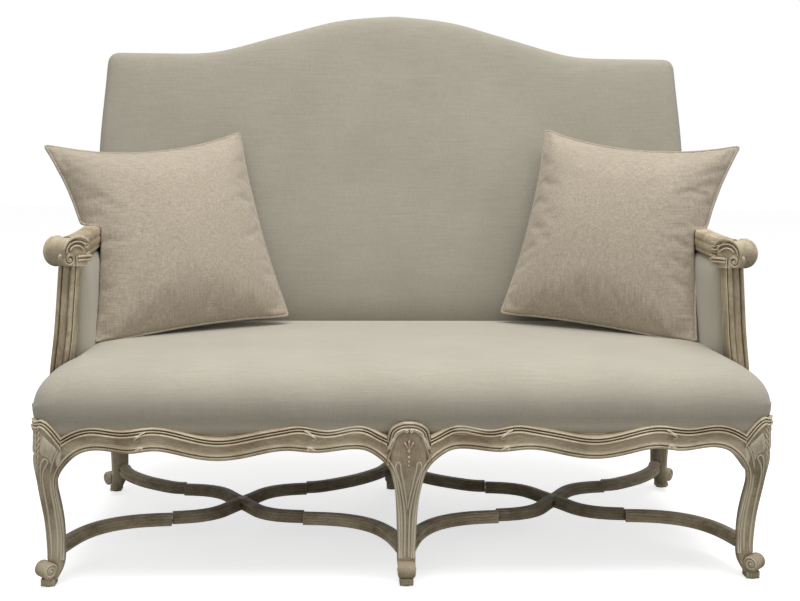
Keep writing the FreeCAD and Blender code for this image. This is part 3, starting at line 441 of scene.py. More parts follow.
def add_scroll_foot(bm, pad, ankle, outward):
    """The rolled toe with a spiral at both ends, and the small square block under it."""
    radius, width, height = 16.5 * MM, 33 * MM, 34.0
    up = Vector((0, 0, 1))
    out = Vector((outward[0], outward[1], 0)).normalized()
    axis = Vector((-out.y, out.x, 0))
    across = axis.cross(up)
    reach = (Vector((pad[0], pad[1], 0)) - Vector((ankle[0], ankle[1], 0))).dot(out) + 7
    centre = at(ankle[0], ankle[1], height) + out * reach * MM
    turn = Matrix((across, up, axis)).transposed().to_4x4()
    made = bmesh.ops.create_cone(bm, cap_ends=True, segments=40, radius1=radius, radius2=radius, depth=width,
                                 matrix=Matrix.Translation(centre) @ turn)
    rims = [e for e in {e for v in made["verts"] for e in v.link_edges}
            if abs((e.verts[0].co - e.verts[1].co).normalized().dot(axis)) < 0.1]
    bmesh.ops.bevel(bm, geom=rims, offset=0.0022, segments=3, profile=0.5, affect="EDGES", material=-1)
    for side in (-1, 1):
        face = centre + axis * (side * (width / 2 - 0.2 * MM))
        line = []
        for k in range(46):
            angle = 0.9 * math.pi + side * k * 0.26
            r = radius * (0.86 - 0.0155 * k)
            line.append(face + (across * math.cos(angle) + up * math.sin(angle)) * r)
        add_tube(bm, line, 1.5, 0.4)
        add_lump(bm, face, (3.2, 3.2, 3.2))
    block = bmesh.ops.create_cube(bm, size=1.0, matrix=Matrix.Translation(at(pad[0], pad[1], 9.5))
                                  @ Matrix.Diagonal((0.027, 0.027, 0.015, 1)))
    sides = {e for v in block["verts"] for e in v.link_edges}
    bmesh.ops.bevel(bm, geom=list(sides), offset=0.0015, segments=2, profile=0.5, affect="EDGES", material=-1)


# Corner leg of the right side: height, outward and forward bow from the ankle, width, outer corner's radius
CORNER_BOW = [(16, 13, 11, 26, 6), (40, 5, 2, 33, 7), (75, 3, 0, 34.5, 8), (105, 3, 0, 36, 8),
              (135, 4, 4, 37, 9), (175, 7.5, 13, 38, 11), (215, 10, 24, 39, 17), (245, 6.5, 32, 50, 23),
              (270, 1.5, 36, 60.5, 28), (300, -1.5, 38.5, 63, 30)]
BOW_TOP = 300.0
LEG_ROUNDING = 0.22
# Carved lines of the corner leg, as (distance from the middle of the settee, height)
INNER_EDGE = [(657, 257), (665, 241), (670.5, 222), (672.5, 199), (672, 172), (670.5, 135), (668.5, 107),
              (669, 85), (669.5, 66), (672, 52)]
CROOK = [(702, 205), (701, 227), (698, 244), (693, 262), (686, 269), (682, 265), (685, 257), (690, 249),
         (696, 233), (698, 216), (697, 189), (695, 155), (694, 122), (693, 94), (693, 66), (695, 52)]
SHIELD = [(687, 317), (674, 302), (662, 288), (669, 276), (677, 257), (684, 272), (692, 276), (694, 296)]
RIDGE = [(657, 292), (665, 279), (671.5, 265), (677, 250), (680.5, 237)]
REED = [(683, 226), (684, 200), (682.5, 172), (681, 140), (680, 110), (680.5, 80), (682, 56)]
# Band round the top of the corner leg: distance round it from its inner side, height
KNEE_EDGE = [(6, 311.5), (13, 321), (22, 332), (35, 343), (45, 345), (56.5, 342), (68, 345), (78, 343),
             (91, 332), (100, 321), (107, 311.5)]
KNEE_HALF = 31.5
KNEE_RADIUS = 30.0
KNEE_CENTRE = (680.5, -24.5)


def bow_at(z, ankle, sway):
    """Middle of a corner leg at a height, half its width and the radius of its outer corner."""
    out, forward, width, radius = (along(CORNER_BOW, z, column) for column in (1, 2, 3, 4))
    return ankle[0] + out, ankle[1] - forward * sway, width / 2, radius


def knee_point(s, z, out):
    """A point near the band of the knee: distance round the corner, height, distance out of the wood."""
    flat = 2 * KNEE_HALF - KNEE_RADIUS
    turn = min(math.pi / 2, max(0.0, (s - flat) / KNEE_RADIUS))
    side, front = math.sin(turn), math.cos(turn)
    before = min(0.0, s - flat)
    after = max(0.0, s - flat - KNEE_RADIUS * math.pi / 2)
    x = KNEE_CENTRE[0] + KNEE_HALF - KNEE_RADIUS + before + side * (KNEE_RADIUS + out)
    y = KNEE_CENTRE[1] - KNEE_HALF + KNEE_RADIUS + after - front * (KNEE_RADIUS + out)
    return at(x, y, z)


def corner_leg(pad, ankle, back, sway, carved):
    """A right-hand corner leg, with the same carving on its two outer faces."""
    bm = bmesh.new()
    stations = [(z, ankle[0] + out, ankle[1] - forward * sway, width, width, radius)
                for z, out, forward, width, radius in CORNER_BOW]
    x, y, half, radius = bow_at(BOW_TOP, ankle, sway)
    if carved:
        for inset, z in [(0.6, 304)] + [(s + 1, top) for s, top in KNEE_EDGE[:4]]:
            size = 2 * half - inset
            corner = min(radius, size - 1)
            stations.append((min(z, 339), x + inset / 2, y + back * inset / 2, size, size, corner))
    loft(bm, leg_rings(stations, LEG_ROUNDING, back))
    set_back = 15 if carved else 0
    size = 2 * half - set_back
    loft(bm, [rounded_square(x - set_back / 2, y - back * set_back / 2, z, size, size, 6,
                             {(1, back): radius - set_back / 2}) for z in (296.0, RAIL_TOP - 0.5)])

    def on_face(points, side, out):
        """Carved points laid on the front or back (side 0) or the outer side (1) of the leg."""
        found = []
        for across, z in points:
            leg = bow_at(z, FRONT_ANKLE, 1.0)
            d = leg[0] + leg[2] - across
            px, py, h, r = bow_at(z, ankle, sway)
            lean = max(0.0, r - d)
            rise = math.sqrt(r * r - lean * lean)
            inner = 2 * h * LEG_ROUNDING
            past = min(inner, max(0.0, d - 2 * h + inner))
            drop = inner - math.sqrt(inner * inner - past * past)
            first, second = h - d + lean / r * out, h - r + rise + rise / r * out - drop
            if side:
                first, second = second, first
            found.append(at(px + first, py + back * second, z))
        return found

    for side in (0, 1):
        if not carved and side == 0:
            add_tube(bm, on_face(eased(INNER_EDGE, 60), side, 0.2), 2.1, 0.5)
        add_tube(bm, on_face(eased(CROOK, 120), side, 0.2), 2.1, 0.6)
        add_tube(bm, on_face(eased(REED, 60), side, -0.6), 2.4, 0.9)
        if not carved:
            continue
        add_tube(bm, on_face(eased(RIDGE, 24), side, 0.6), 2.3, 0.9)
        edge = smooth_line(SHIELD + SHIELD[:1], 48)
        middle = np.mean(edge[:-1], axis=0)
        rings = []
        for share, out in ((1.0, -1.5), (0.94, 1.4), (0.80, 2.2), (0.4, 2.8), (0.05, 2.9)):
            rings.append(on_face([tuple(middle + (q - middle) * share) for q in edge[:-1]], side, out))
        loft(bm, rings)
    if carved:
        loft(bm, strands(eased(KNEE_EDGE, 110), knee_point))
        # Leaf down the outer corner: a stem with pairs of lobes
        stem = [corner_point(z, 0.0, -0.2, ankle, back, sway) for z in np.linspace(338, 232, 30)]
        add_tube(bm, stem, 2.6, 0.8)
        for k in range(8):
            reach = 11.0 - 0.8 * k
            for sign in (-1, 1):
                lobe = [(0.1, -9.0, -1.0), (0.55, -5.0, 0.0), (0.9, 1.0, 0.0), (1.0, 7.0, -1.2)]
                line = [corner_point(330 - 12.0 * k + dz, sign * reach * share, out, ankle, back, sway)
                        for share, dz, out in eased(lobe, 10)]
                add_tube(bm, line, 2.4 - 0.1 * k, 0.6)
    add_scroll_foot(bm, pad, ankle, (1, back))
    return bm


def corner_point(z, aside, out, ankle, back, sway):
    """A point on the rounded outer corner of a leg, aside from its middle and out of the wood."""
    x, y, half, r = bow_at(min(z, BOW_TOP), ankle, sway)
    turn = math.pi / 4 + aside / r
    reach = r + out
    return at(x + half - r + reach * math.sin(turn), y + back * (half - r + reach * math.cos(turn)), z)


def strands(edge, place):
    """The triple bead along an edge of (s, z) points; place gives the point at s, z and a distance out."""
    rings = []
    for i, ((s, z), t) in enumerate(zip(edge, directions(edge))):
        down = Vector((t.y, -t.x))
        if down.y > 0:
            down = -down
        if i in (0, len(edge) - 1):
            down = Vector((0, -1)) / max(0.3, -down.y)
        rings.append([place(s + down.x * d, z + down.y * d, out) for d, out in STRANDS])
    return rings


def front_face(x, z=BOW_TOP):
    """Distance of the carved front from the foot line, blended into the legs at both ends of the bay."""
    x = abs(x)
    z = min(z, BOW_TOP)
    if x < 90:
        forward, depth = along(CENTRE_BOW, z, 1), along(CENTRE_BOW, z, 3)
        share = smooth_step((90 - x) / 42)
        return -along(RAIL_FACE, max(x, BAY_START)) * (1 - share) - (4 + forward + depth / 2) * share
    corner = bow_at(z, FRONT_ANKLE, 1.0)
    share = smooth_step((x - 600) / 50)
    return -along(RAIL_FACE, min(x, BAY_END)) * (1 - share) + (corner[1] - corner[2]) * share


def on_front(x, z, out):
    """A point at a distance out of the carved front."""
    return at(x, front_face(x, z) - out, z)


# Right half of the front rail

# Places where a leaf crosses the strands, and which way it leans
BREAKS = [(187, 1), (508, -1)]


def rail_section(top, low, face, inner, rebate, recess):
    """Section of a rail as (distance out, height); face gives the carved front's distance at a height."""
    shape = [(inner, RAIL_TOP - 0.5), (face(top) - rebate, RAIL_TOP - 0.5), (face(top) - rebate, top + 3),
             (face(top) - 3, top - 1), (face(top) - 3, top - 15)]
    for share in (0.0, 0.2, 0.4, 0.6, 0.8, 1.0):
        z = (top - 17) * (1 - share) + (low + 12.5) * share
        deep = FRIEZE_DEPTH * recess + COVE * recess * math.sin(math.pi * share) + 0.3
        shape.append((face(z) - deep, z))
    shape += [(face(low + 8) - 3.0, low + 8), (face(low + 4) - 4.0, low + 1.5)]
    return shape + [(face(low) - 14, low + 0.5), (inner, low + 2)]


def edge_band(path, place):
    """Two beads along the lower edge of the frame, the wood lying left of the path."""
    rings = []
    for (s, z), t in zip(path, directions(path)):
        slim = float(np.interp(z, [200, 262], [0.6, 1.0]))
        rings.append([place(s - t.y * d * slim, z + t.x * d * slim, out * slim) for d, out in EDGE_BEADS])
    return rings


def front_rail():
    bm = bmesh.new()
    rings = []
    xs = np.concatenate([np.linspace(38, 110, 26), np.linspace(114, 575, 90), np.linspace(580, 667, 34)])
    for x in xs:
        recess = smooth_step((x - 40) / 40) * smooth_step((650 - x) / 40)
        top = along(RAIL_EDGE, min(x, BAY_END))
        section = rail_section(top, along(RAIL_LOW, x), lambda z: -front_face(x, z), FRONT_RAIL_INNER,
                               9 + 10 * smooth_step((90 - x) / 42), recess)
        rings.append([at(x, -out, z) for out, z in section])
    loft(bm, rings)
    edge = [(x, along(RAIL_EDGE, x)) for x in np.linspace(BAY_START, BAY_END, 130)]
    loft(bm, strands(edge, on_front))
    path = eased(MIDDLE_EDGE + RAIL_LOW[2:-1] + CORNER_EDGE, 330)
    loft(bm, edge_band(path, on_front))
    for x, lean in BREAKS:
        add_break(bm, x, lean)
    return bm


def add_break(bm, x, lean):
    """A small leaf that crosses the strands, with a hook on the lower bead."""
    top = along(RAIL_EDGE, x)
    low = along(RAIL_LOW, x)
    y = front_face(x)
    leaf = [(-11, -20), (-6, -18), (-1, -14), (5, -9), (12, -6)]
    curl = [(-12, -20), (-9, -23), (-5, -24), (-2, -22)]
    hook = [(-10, 5), (-4, 7), (2, 9.5), (5, 8), (4, 4.5)]
    for line, edge, proud, count, radius, taper in ((leaf, top, 2.6, 16, 2.4, 0.8),
                                                    (curl, top, 0.2, 16, 1.4, 0.7),
                                                    (hook, low, 0.2, 18, 2.0, 0.6)):
        points = [at(x + lean * dx, y - proud, edge + dz) for dx, dz in eased(line, count)]
        add_tube(bm, points, radius, taper)


# Middle legs

CENTRE_BOW = [(16, 11, 28, 28), (40, 2, 35, 34), (75, 0, 35, 35), (105, 2, 37, 36), (140, 6, 39.5, 37),
              (175, 13, 44, 39), (205, 20, 52, 46), (235, 25, 66, 52), (265, 28, 78, 60), (300, 28, 84, 60)]
CENTRE_EDGE = [(-41, 310), (-39, 319), (-33.5, 328), (-24, 334.5), (-13, 338.5), (0, 339.5)]
INNER_ARCH = [(37, 290), (34, 302), (27, 313), (18, 322), (10, 325.5), (5, 322)]
SIDE_BEAD = [(38, 252), (33.5, 238), (27.5, 218), (21.5, 186), (17.8, 150), (16.4, 118), (15.6, 86),
             (15.6, 58)]
LONG_BEAD = [(19.5, 262), (23.5, 257), (25, 249), (22.5, 238), (17.5, 222), (13.2, 204), (9, 180), (5.5, 155),
             (4.2, 120), (4, 58)]
INNER_BEAD = [(19.5, 262), (16.2, 256), (15, 247), (12.5, 232), (9, 214), (5.8, 196), (3, 178), (0.8, 160)]
OUTER_REED = [(24, 232), (20, 214), (16.2, 190), (12.8, 165), (10.8, 135), (10, 100), (9.8, 58)]


def centre_leg(pad, ankle, back, sway, knee, carved):
    bm = bmesh.new()
    stations = [(z, 0, ankle[1] - forward * sway, width * (knee if z > 200 else 1), depth, depth)
                for z, forward, width, depth in CENTRE_BOW]
    z, x, y, width, depth = stations[-1][:5]
    if carved:
        for top, size in ((305, 83), (311, 78), (320, 73), (328, 62), (334, 44), (338, 20)):
            stations.append((top, x, y, size, depth, depth))
    loft(bm, leg_rings(stations, 0.14))
    tree = BVHTree.FromBMesh(bm)
    set_back = 20 if carved else 0
    loft(bm, [rounded_square(0, y + set_back / 2, h, w, depth - set_back, 6)
              for h, w in ((z - 4, width - 2), (318, width - 6), (RAIL_TOP - 0.5, 36))])

    def on_face(points, sign, sink):
        """Carved points dropped onto the face of the leg from in front or behind."""
        toward = Vector((0, -back, 0))
        hits = [tree.ray_cast(at(sign * x, back * 140 + ankle[1], z), toward)[0] for x, z in points]
        return [hit + toward * (sink * MM) for hit in hits if hit is not None]

    for sign in (-1, 1):
        if not carved:
            add_tube(bm, on_face(eased(SIDE_BEAD, 60), sign, 0.4), 2.1, 0.4)
        add_tube(bm, on_face(eased(LONG_BEAD, 80), sign, 0.1), 2.3, 0.3)
        add_tube(bm, on_face(eased(OUTER_REED, 60), sign, 0.2), 2.0, 0.6)
        add_tube(bm, on_face(eased(INNER_BEAD, 50), sign, 0.1), 2.0, 0.5)
    if carved:
        half = eased(CENTRE_EDGE, 34)
        edge = half + [(-x, z) for x, z in half[-2::-1]]
        loft(bm, strands(edge, on_front))
        for sign in (-1, 1):
            eye = [(1.5 + 3.2 * math.cos(a) * (1 - a / 9), 325 + 3.2 * math.sin(a) * (1 - a / 9))
                   for a in np.linspace(0.2, 7.2, 24)]
            add_tube(bm, [at(sign * (x + 3), -66.0, z - 3) for x, z in eye], 1.6)
            add_tube(bm, [at(sign * x, -63.4, z - 3) for x, z in eased(INNER_ARCH, 36)], 2.7, 0.3)
            petal = Matrix.Rotation(math.radians(28) * sign, 3, "Y")
            add_lump(bm, at(sign * 5.2, -63.6, 294), (2.6, 2.0, 8.2), petal)
        add_lump(bm, at(0, -64.4, 296), (3.0, 2.4, 8.8))
        add_lump(bm, at(0, -63.2, 283), (3.4, 2.2, 5.0))
        for z, size in ((270.5, 2.4), (262, 2.0), (254, 1.6)):
            spot = on_face([(0, z)], 1, 0.3)[0]
            add_lump(bm, spot, (size, size * 0.8, size * 1.4))
    add_scroll_foot(bm, pad, ankle, (0, back))
    return bm


# Sides and back of the frame

SIDE_EDGE = [(1, 311.5), (7, 315), (52, 331), (100, 326), (150, 331), (269.5, 317), (389, 331), (439, 326),
             (487, 331), (532, 315), (538, 311.5)]
SIDE_LOW = [(-4, 236), (6, 247), (18, 261), (38, 277), (64, 285.5), (125, 280), (170, 284), (270, 268),
            (370, 284), (415, 280), (478, 285.5), (504, 277), (524, 261), (536, 247), (544, 236)]
# Carved face of the side rail: place from front to back, distance from the middle of the settee
SIDE_FACE = [(0, 712), (120, 713), (300, 713), (430, 710), (540, 703)]


def side_face(y, z):
    """Distance of the side's carved face from the middle, blended into the legs."""
    z = min(z, BOW_TOP)
    x = along(SIDE_FACE, min(540.0, max(0.0, y)))
    for share, ankle in ((smooth_step((56 - y) / 50), FRONT_ANKLE),
                         (smooth_step((y - 483) / 50), REAR_ANKLE)):
        leg = bow_at(z, ankle, 1.0)
        x += (leg[0] + leg[2] - x) * share
    return x


def on_side(y, z, out):
    """A point at a distance out of the carved side."""
    return at(side_face(y, z) + out, y, z)


def side_rail():
    bm = bmesh.new()
    rings = []
    for y in np.linspace(-4, 543, 130):
        recess = smooth_step((y - 6) / 40) * smooth_step((533 - y) / 40)
        top = along(SIDE_EDGE, min(538.0, max(1.0, y)))
        section = rail_section(top, along(SIDE_LOW, y), lambda z: side_face(y, z), SIDE_RAIL_INNER,
                               5, recess)
        rings.append([at(out, y, z) for out, z in section])
    loft(bm, rings)
    loft(bm, strands([(y, along(SIDE_EDGE, y)) for y in np.linspace(1, 537, 120)], on_side))
    path = []
    for x, z in CORNER_EDGE[::-1]:
        leg = bow_at(z, FRONT_ANKLE, 1.0)
        path.append((leg[1] - leg[2] + leg[0] + leg[2] - x, z))
    path += SIDE_LOW[1:-1]
    for z in (224, 208, 190, 172, 140, 107, 75, 52):
        leg = bow_at(z, REAR_ANKLE, REAR_SWAY)
        path.append((leg[1] - leg[2] + 1.5, z))
    loft(bm, edge_band(eased(path, 300), on_side))
    return bm


# Stretchers: section of the bar as (distance out, height)

BAR = [(0, 78.2), (6.4, 78.0), (8.2, 77.4), (8.8, 75.6), (10.2, 75.4), (12.4, 74.8), (13.8, 72.8),
       (13.6, 70.4), (12.2, 69.0), (10.6, 68.4), (10.6, 62.4), (12.2, 61.4), (13.8, 59.4), (13.8, 55.8),
       (12.4, 54.2), (0, 54.0)]
HUB = (350.0, 309.5)
SHOULDER = (140.0, 101.0)
STEP = 11.0


def bar(points, count, width=1.0, base=0.0):
    """A moulded stretcher bar along points in plan."""
    line = eased(points, count)
    rings = []
    for (x, y), t in zip(line, directions(line)):
        rings.append([at(x - t.y * d * width, y + t.x * d * width, z + base) for d, z in BAR]
                     + [at(x + t.y * d * width, y - t.x * d * width, z + base) for d, z in BAR[-2:0:-1]])
    return lofted(rings)


def horn_line(sign):
    """Plan of one of the two bars that cross in the hub."""
    half = [(1.0, 1.0), (0.60, 0.89), (0.33, 0.65), (0.14, 0.27)]
    line = [(-SHOULDER[0] * a, -sign * SHOULDER[1] * b) for a, b in half]
    line += [(0.0, 0.0)] + [(-x, -y) for x, y in line[::-1]]
    return [(HUB[0] + x, HUB[1] + y) for x, y in line]


def arm_line(end, bend):
    """Plan of a stretcher arm from the hub's shoulder to its leg."""
    out = 1 if end[0] > HUB[0] else -1
    back = 1 if end[1] > HUB[1] else -1
    start = (HUB[0] + out * SHOULDER[0], HUB[1] + back * (SHOULDER[1] + STEP))
    line = [start, (start[0] + out * 12, start[1] + back * 0.8)]
    line += [(start[0] + (end[0] - start[0]) * a, start[1] + (end[1] - start[1]) * b) for a, b in bend]
    return line + [end]


# Arms

ARM_LINE = [(668, 104, 677), (664, 135, 678), (661.4, 180, 680), (661.4, 280, 686), (661.4, 420, 698),
            (661.4, 560, 708), (661.4, 618, 713)]
ARM_HALF = 21.3
ROLL = (671.0, 90.0, 648.0)
FLARE = math.radians(38)
# Bead over the handhold's inner face: place across it and height, then the curl it ends in
ARCH = [(-30, 19), (-21, 26), (-8, 29.5), (6, 29), (18, 24), (27, 14), (31, 2), (30, -10)]
CURL = (17.5, -12.0)
CURL_RADIUS = 12.5


def arm_rail():
    """The right arm: a moulded rail that flares out to a rolled handhold."""
    bm = bmesh.new()
    axis = Vector((math.cos(FLARE), math.sin(FLARE), 0))
    line = eased(ARM_LINE, 50)
    # Section of the arm rail: share of the half width, drop from the top
    section = [(-1.0, 30), (-1.0, 22), (-0.93, 19), (-1.0, 15), (-0.96, 8), (-0.82, 3), (-0.5, 0.6), (0, 0),
               (0.5, 0.6), (0.82, 3), (0.96, 8), (1.0, 15), (0.93, 19), (1.0, 22), (1.0, 30), (0.93, 34),
               (0.86, 37), (0.90, 41), (0.84, 44), (-0.84, 44), (-0.90, 41), (-0.86, 37), (-0.93, 34)]
    rings = []
    for i, ((x, y, top), t) in enumerate(zip(line, directions(line))):
        across = Vector((t.y, -t.x, 0)).normalized()
        across = across.lerp(axis, max(0.0, 1 - i / 8)).normalized()
        rings.append([at(x + across.x * ARM_HALF * s, y + across.y * ARM_HALF * s, top - drop)
                      for s, drop in section])
    loft(bm, rings)
    centre = at(*ROLL)
    up = Vector((0, 0, 1))
    ahead = axis.cross(up)
    turn = Matrix((ahead, up, axis)).transposed().to_4x4()
    # Lathe outline of the roll: distance along the axis, radius
    outline = [(-28.5, 0.0), (-28.5, 26.0), (-27.5, 27.4), (-25.0, 27.8), (0.0, 27.4), (20.0, 27.8),
               (24.0, 28.2), (25.0, 29.8), (27.0, 30.8), (29.5, 30.4), (31.0, 28.5), (31.8, 25.0),
               (32.2, 12.0), (32.4, 0.0)]
    lathe = bmesh.new()
    verts = [lathe.verts.new((r * MM, 0, d * MM)) for d, r in outline]
    edges = [lathe.edges.new(pair) for pair in zip(verts, verts[1:])]
    bmesh.ops.spin(lathe, geom=verts + edges, cent=(0, 0, 0), axis=(0, 0, 1), angle=2 * math.pi, steps=48,
                   use_merge=True)
    bmesh.ops.remove_doubles(lathe, verts=lathe.verts, dist=1e-6)
    curl_place = Matrix.Translation((CURL[0] * MM, CURL[1] * MM, -0.024))
    bmesh.ops.create_cone(lathe, cap_ends=True, segments=32, radius1=0.0138, radius2=0.0138, depth=0.016,
                          matrix=curl_place)
    bmesh.ops.transform(lathe, matrix=Matrix.Translation(centre) @ turn, verts=lathe.verts)
    add_mesh(bm, lathe)
    lathe.free()

    def on_end(across, height, out):
        return centre + ahead * (across * MM) + up * (height * MM) - axis * ((32.0 + out) * MM)

    spiral = []
    for k in range(44):
        angle = math.radians(8 - 13 * k)
        r = CURL_RADIUS * (1 - k / 54)
        spiral.append(on_end(CURL[0] + r * math.cos(angle), CURL[1] + r * math.sin(angle), 1.2))
    # Three beads that come off the rail and go round the handhold; the outer one ends in the curl
    for x, heights, share, drop, out, radius, tail in ((640.0, (667, 669, 672), 1.0, 0, 1.2, 3.0, spiral),
                                                       (640.2, (660, 661.5, 664), 0.76, 1, 0.2, 1.7, []),
                                                       (640.2, (653, 654, 656), 0.52, 2, 0.0, 1.5, [])):
        line = [at(x, 150, heights[0]), at(x, 125, heights[1]), at(x + 0.5, 105, heights[2])]
        line += [on_end(a * share, h * share - drop, out) for a, h in ARCH[:len(ARCH) - drop]]
        add_tube(bm, eased(line, 60) + tail, radius, 0.2)
    add_lump(bm, on_end(*CURL, 1.2), (3.4, 3.4, 3.4))
    # A cap over the stump, with two beads that run back along the rail over the padded panel
    cap = Matrix.Translation(on_end(-14, -17.0, -10)) @ turn @ Matrix.Diagonal((0.026, 0.020, 0.019, 1.0))
    bmesh.ops.create_cube(bm, size=1.0, matrix=cap)
    for height in (-8.5, -15.5):
        line = [at(640.3, 160, 648 + height), at(640.3, 125, 648 + height), on_end(-33, height, 1.0),
                on_end(-20, height, 0.6), on_end(-4, height, 0.6)]
        add_tube(bm, eased(line, 30), 2.8, 0.2)
    return bm


# Section of the stump, seen from above on the right: share of the width from the inner side, forward relief
STUMP_FACE = [(0.0, -6), (0.02, -1.0), (0.05, 0.6), (0.08, -1.8), (0.11, 1.2), (0.16, 4.6), (0.24, 6.2),
              (0.31, 4.6), (0.35, 1.0), (0.37, -3.2), (0.42, -2.2), (0.58, -1.8), (0.74, -2.2),
              (0.78, -3.8), (0.81, 1.0), (0.88, 3.2), (0.96, 1.6), (1.0, -3)]
STUMP_LINE = [(341, 711, 40, 105, 50), (390, 710, 39, 104, 48), (471, 699, 39, 99, 44),
              (551, 690, 38, 95, 40), (600, 685, 38, 94, 41), (638, 681, 38, 93, 42)]


def stump():
    """The moulded support under the right handhold."""
    rings = []
    for z, outer, width, y, deep in smooth_line(STUMP_LINE, 26):
        inner, rear = outer - width, y + deep / 2
        front = [(inner + width * s, y - deep / 2 + 4 - r) for s, r in STUMP_FACE]
        side = [(outer, y - deep * 0.2), (outer + 0.8, y - deep * 0.1), (outer, y), (outer, rear - 4),
                (outer - 3, rear), (inner + 3, rear), (inner, rear - 4)]
        rings.append([at(px, py, z) for px, py in front + side])
    return lofted(rings)


# Upholstery

def back_point(x, depth, height):
    """A point of the raked back: depth behind its front, height along it."""
    y = SEAT_BACK_Y + depth * math.cos(RAKE) + height * math.sin(RAKE)
    return at(x, y, SEAT_BACK_Z + height * math.cos(RAKE) - depth * math.sin(RAKE))


def back_y(z):
    return SEAT_BACK_Y + (z - SEAT_BACK_Z) * math.tan(RAKE)


SHOULDER_HEIGHT = 656.5
HUMP = 100.5
BACK_CORNER = 27.0
BACK_SIDE = [(-120, 711), (230, 711), (460, 708), (600, 697), (660, 694), (800, 693)]
CAMEL = [(0.0, 1.0), (0.16, 0.90), (0.30, 0.68), (0.44, 0.40), (0.58, 0.12), (0.65, 0.03), (0.72, 0.0),
         (0.90, 0.0), (1.0, 0.0)]
EDGE_ROLL = [(0.0, 26.0), (1.2, 20.0), (3.0, 15.5), (6.0, 11.2), (11.0, 7.8), (18.0, 4.9), (30.0, 2.3),
             (48.0, 0.8), (75.0, 0.0)]


def back_rings(front, behind, bottom):
    """Upright sections of the back from side to side, between two depths."""
    near_edge = [0.0, 0.6, 1.6, 3.2, 5.5, 8.5, 12.5, 18, 26, 36, 50, 75, 110, 150]
    half = 711.0
    close = {half - e for e in near_edge}
    xs = sorted({-x for x in close} | close | set(np.linspace(-540, 540, 55)))
    rings = []
    for x in xs:
        share = x / half
        aside = (1 - abs(share)) * half
        top = SHOULDER_HEIGHT + HUMP * max(0.0, along(CAMEL, abs(share)))
        if aside < BACK_CORNER:
            top -= BACK_CORNER - math.sqrt(max(0.0, BACK_CORNER ** 2 - (BACK_CORNER - aside) ** 2))
        side_roll = straight(EDGE_ROLL, aside)
        points = []
        heights = list(np.linspace(bottom, top - 110, 22)) + [top - e for e in near_edge[::-1][2:]]
        for h in heights:
            depth = max(front, math.hypot(side_roll, straight(EDGE_ROLL, top - h)))
            points.append(back_point(share * along(BACK_SIDE, h), min(depth, behind - 1), h))
        for depth in (40.0, 60.0, behind):
            if depth > front:
                points.append(back_point(share * along(BACK_SIDE, top), max(depth, front + 1), top))
        for h in np.linspace(top - 20, bottom, 12):
            points.append(back_point(share * along(BACK_SIDE, h), behind, h))
        rings.append(points)
    return rings


# Profile of the seat: inset from the front or side, height of the cloth there
FRONT_ROLL = [(10.0, 302), (9.4, 320), (8.0, 334), (3.5, 345), (1.0, 356), (0.0, 370), (1.2, 382),
              (4.5, 393), (10.0, 404), (18.0, 414.5), (30.0, 425), (46.0, 433.5), (66.0, 440),
              (95.0, 445.5), (130.0, 449.5), (180.0, 452)]
SIDE_ROLL = [(0.0, 372), (1.5, 381), (6.0, 392), (13.0, 403), (22.0, 413), (34.0, 422.5), (50.0, 431.5),
             (66.0, 439), (80.0, 446), (95.0, 450), (120.0, 452)]
SEAT_FRONT = [(0.0, 57), (0.27, 66.5), (0.52, 60), (0.78, 66.5), (0.95, 61), (1.0, 60)]
SEAT_HALF = 719.0
SEAT_INNER = 639.8
WING_BACK = 77.0
SEAT_CORNER = 58.0
# Lowest cloth near the seat's side edge: distance from it, height
SIDE_UNDER = [(0.0, 362), (2.0, 350), (5.0, 342), (8.0, 335), (9.5, 303)]


def seat():
    near = [0, 0.8, 2, 4, 7, 11, 16, 22, 30, 40, 52, 66, 80]
    xs = sorted({SEAT_HALF - e for e in near} | {SEAT_INNER + 0.2, SEAT_INNER - 0.2}
                | set(np.linspace(0, 630, 36)))
    xs = [-x for x in xs[::-1]] + xs[1:]
    rings = []
    for x in xs:
        aside = SEAT_HALF - abs(x)
        front = -along(SEAT_FRONT, min(1.0, abs(x) / SEAT_HALF))
        if aside < SEAT_CORNER:
            front += SEAT_CORNER - math.sqrt(max(0.0, SEAT_CORNER ** 2 - (SEAT_CORNER - aside) ** 2))
        wing = abs(x) > SEAT_INNER
        end = WING_BACK if wing else back_y(SEAT_CROWN) - 1
        side = straight(SIDE_ROLL, aside)
        lowest = straight(SIDE_UNDER, aside)
        points = []
        for inset, z in FRONT_ROLL:
            z_side = side if z > 372 else 372.0
            if z > 372:
                z = SEAT_CROWN - math.hypot(SEAT_CROWN - z, SEAT_CROWN - z_side)
            points.append((min(front + inset, end - 2), max(z, lowest)))
        last_y = points[-1][0]
        for k in range(1, 15):
            y = last_y + (end - last_y) * k / 14
            crown = 0.0 if wing else 1.5 * math.sin(math.pi * k / 14) * (1 - (abs(x) / SEAT_INNER) ** 4)
            points.append((y, side + crown))
        for z in (340, 325, 303):
            points.append((end, max(z, lowest)))
        points.append(((front + 10 + end) / 2, max(303, lowest)))
        rings.append([at(x, y, z) for y, z in points])
    return lofted(rings)


def arm_top(y):
    return straight([p[1:] for p in ARM_LINE], y)


def arm_underside(y):
    return arm_top(y) - 44.0


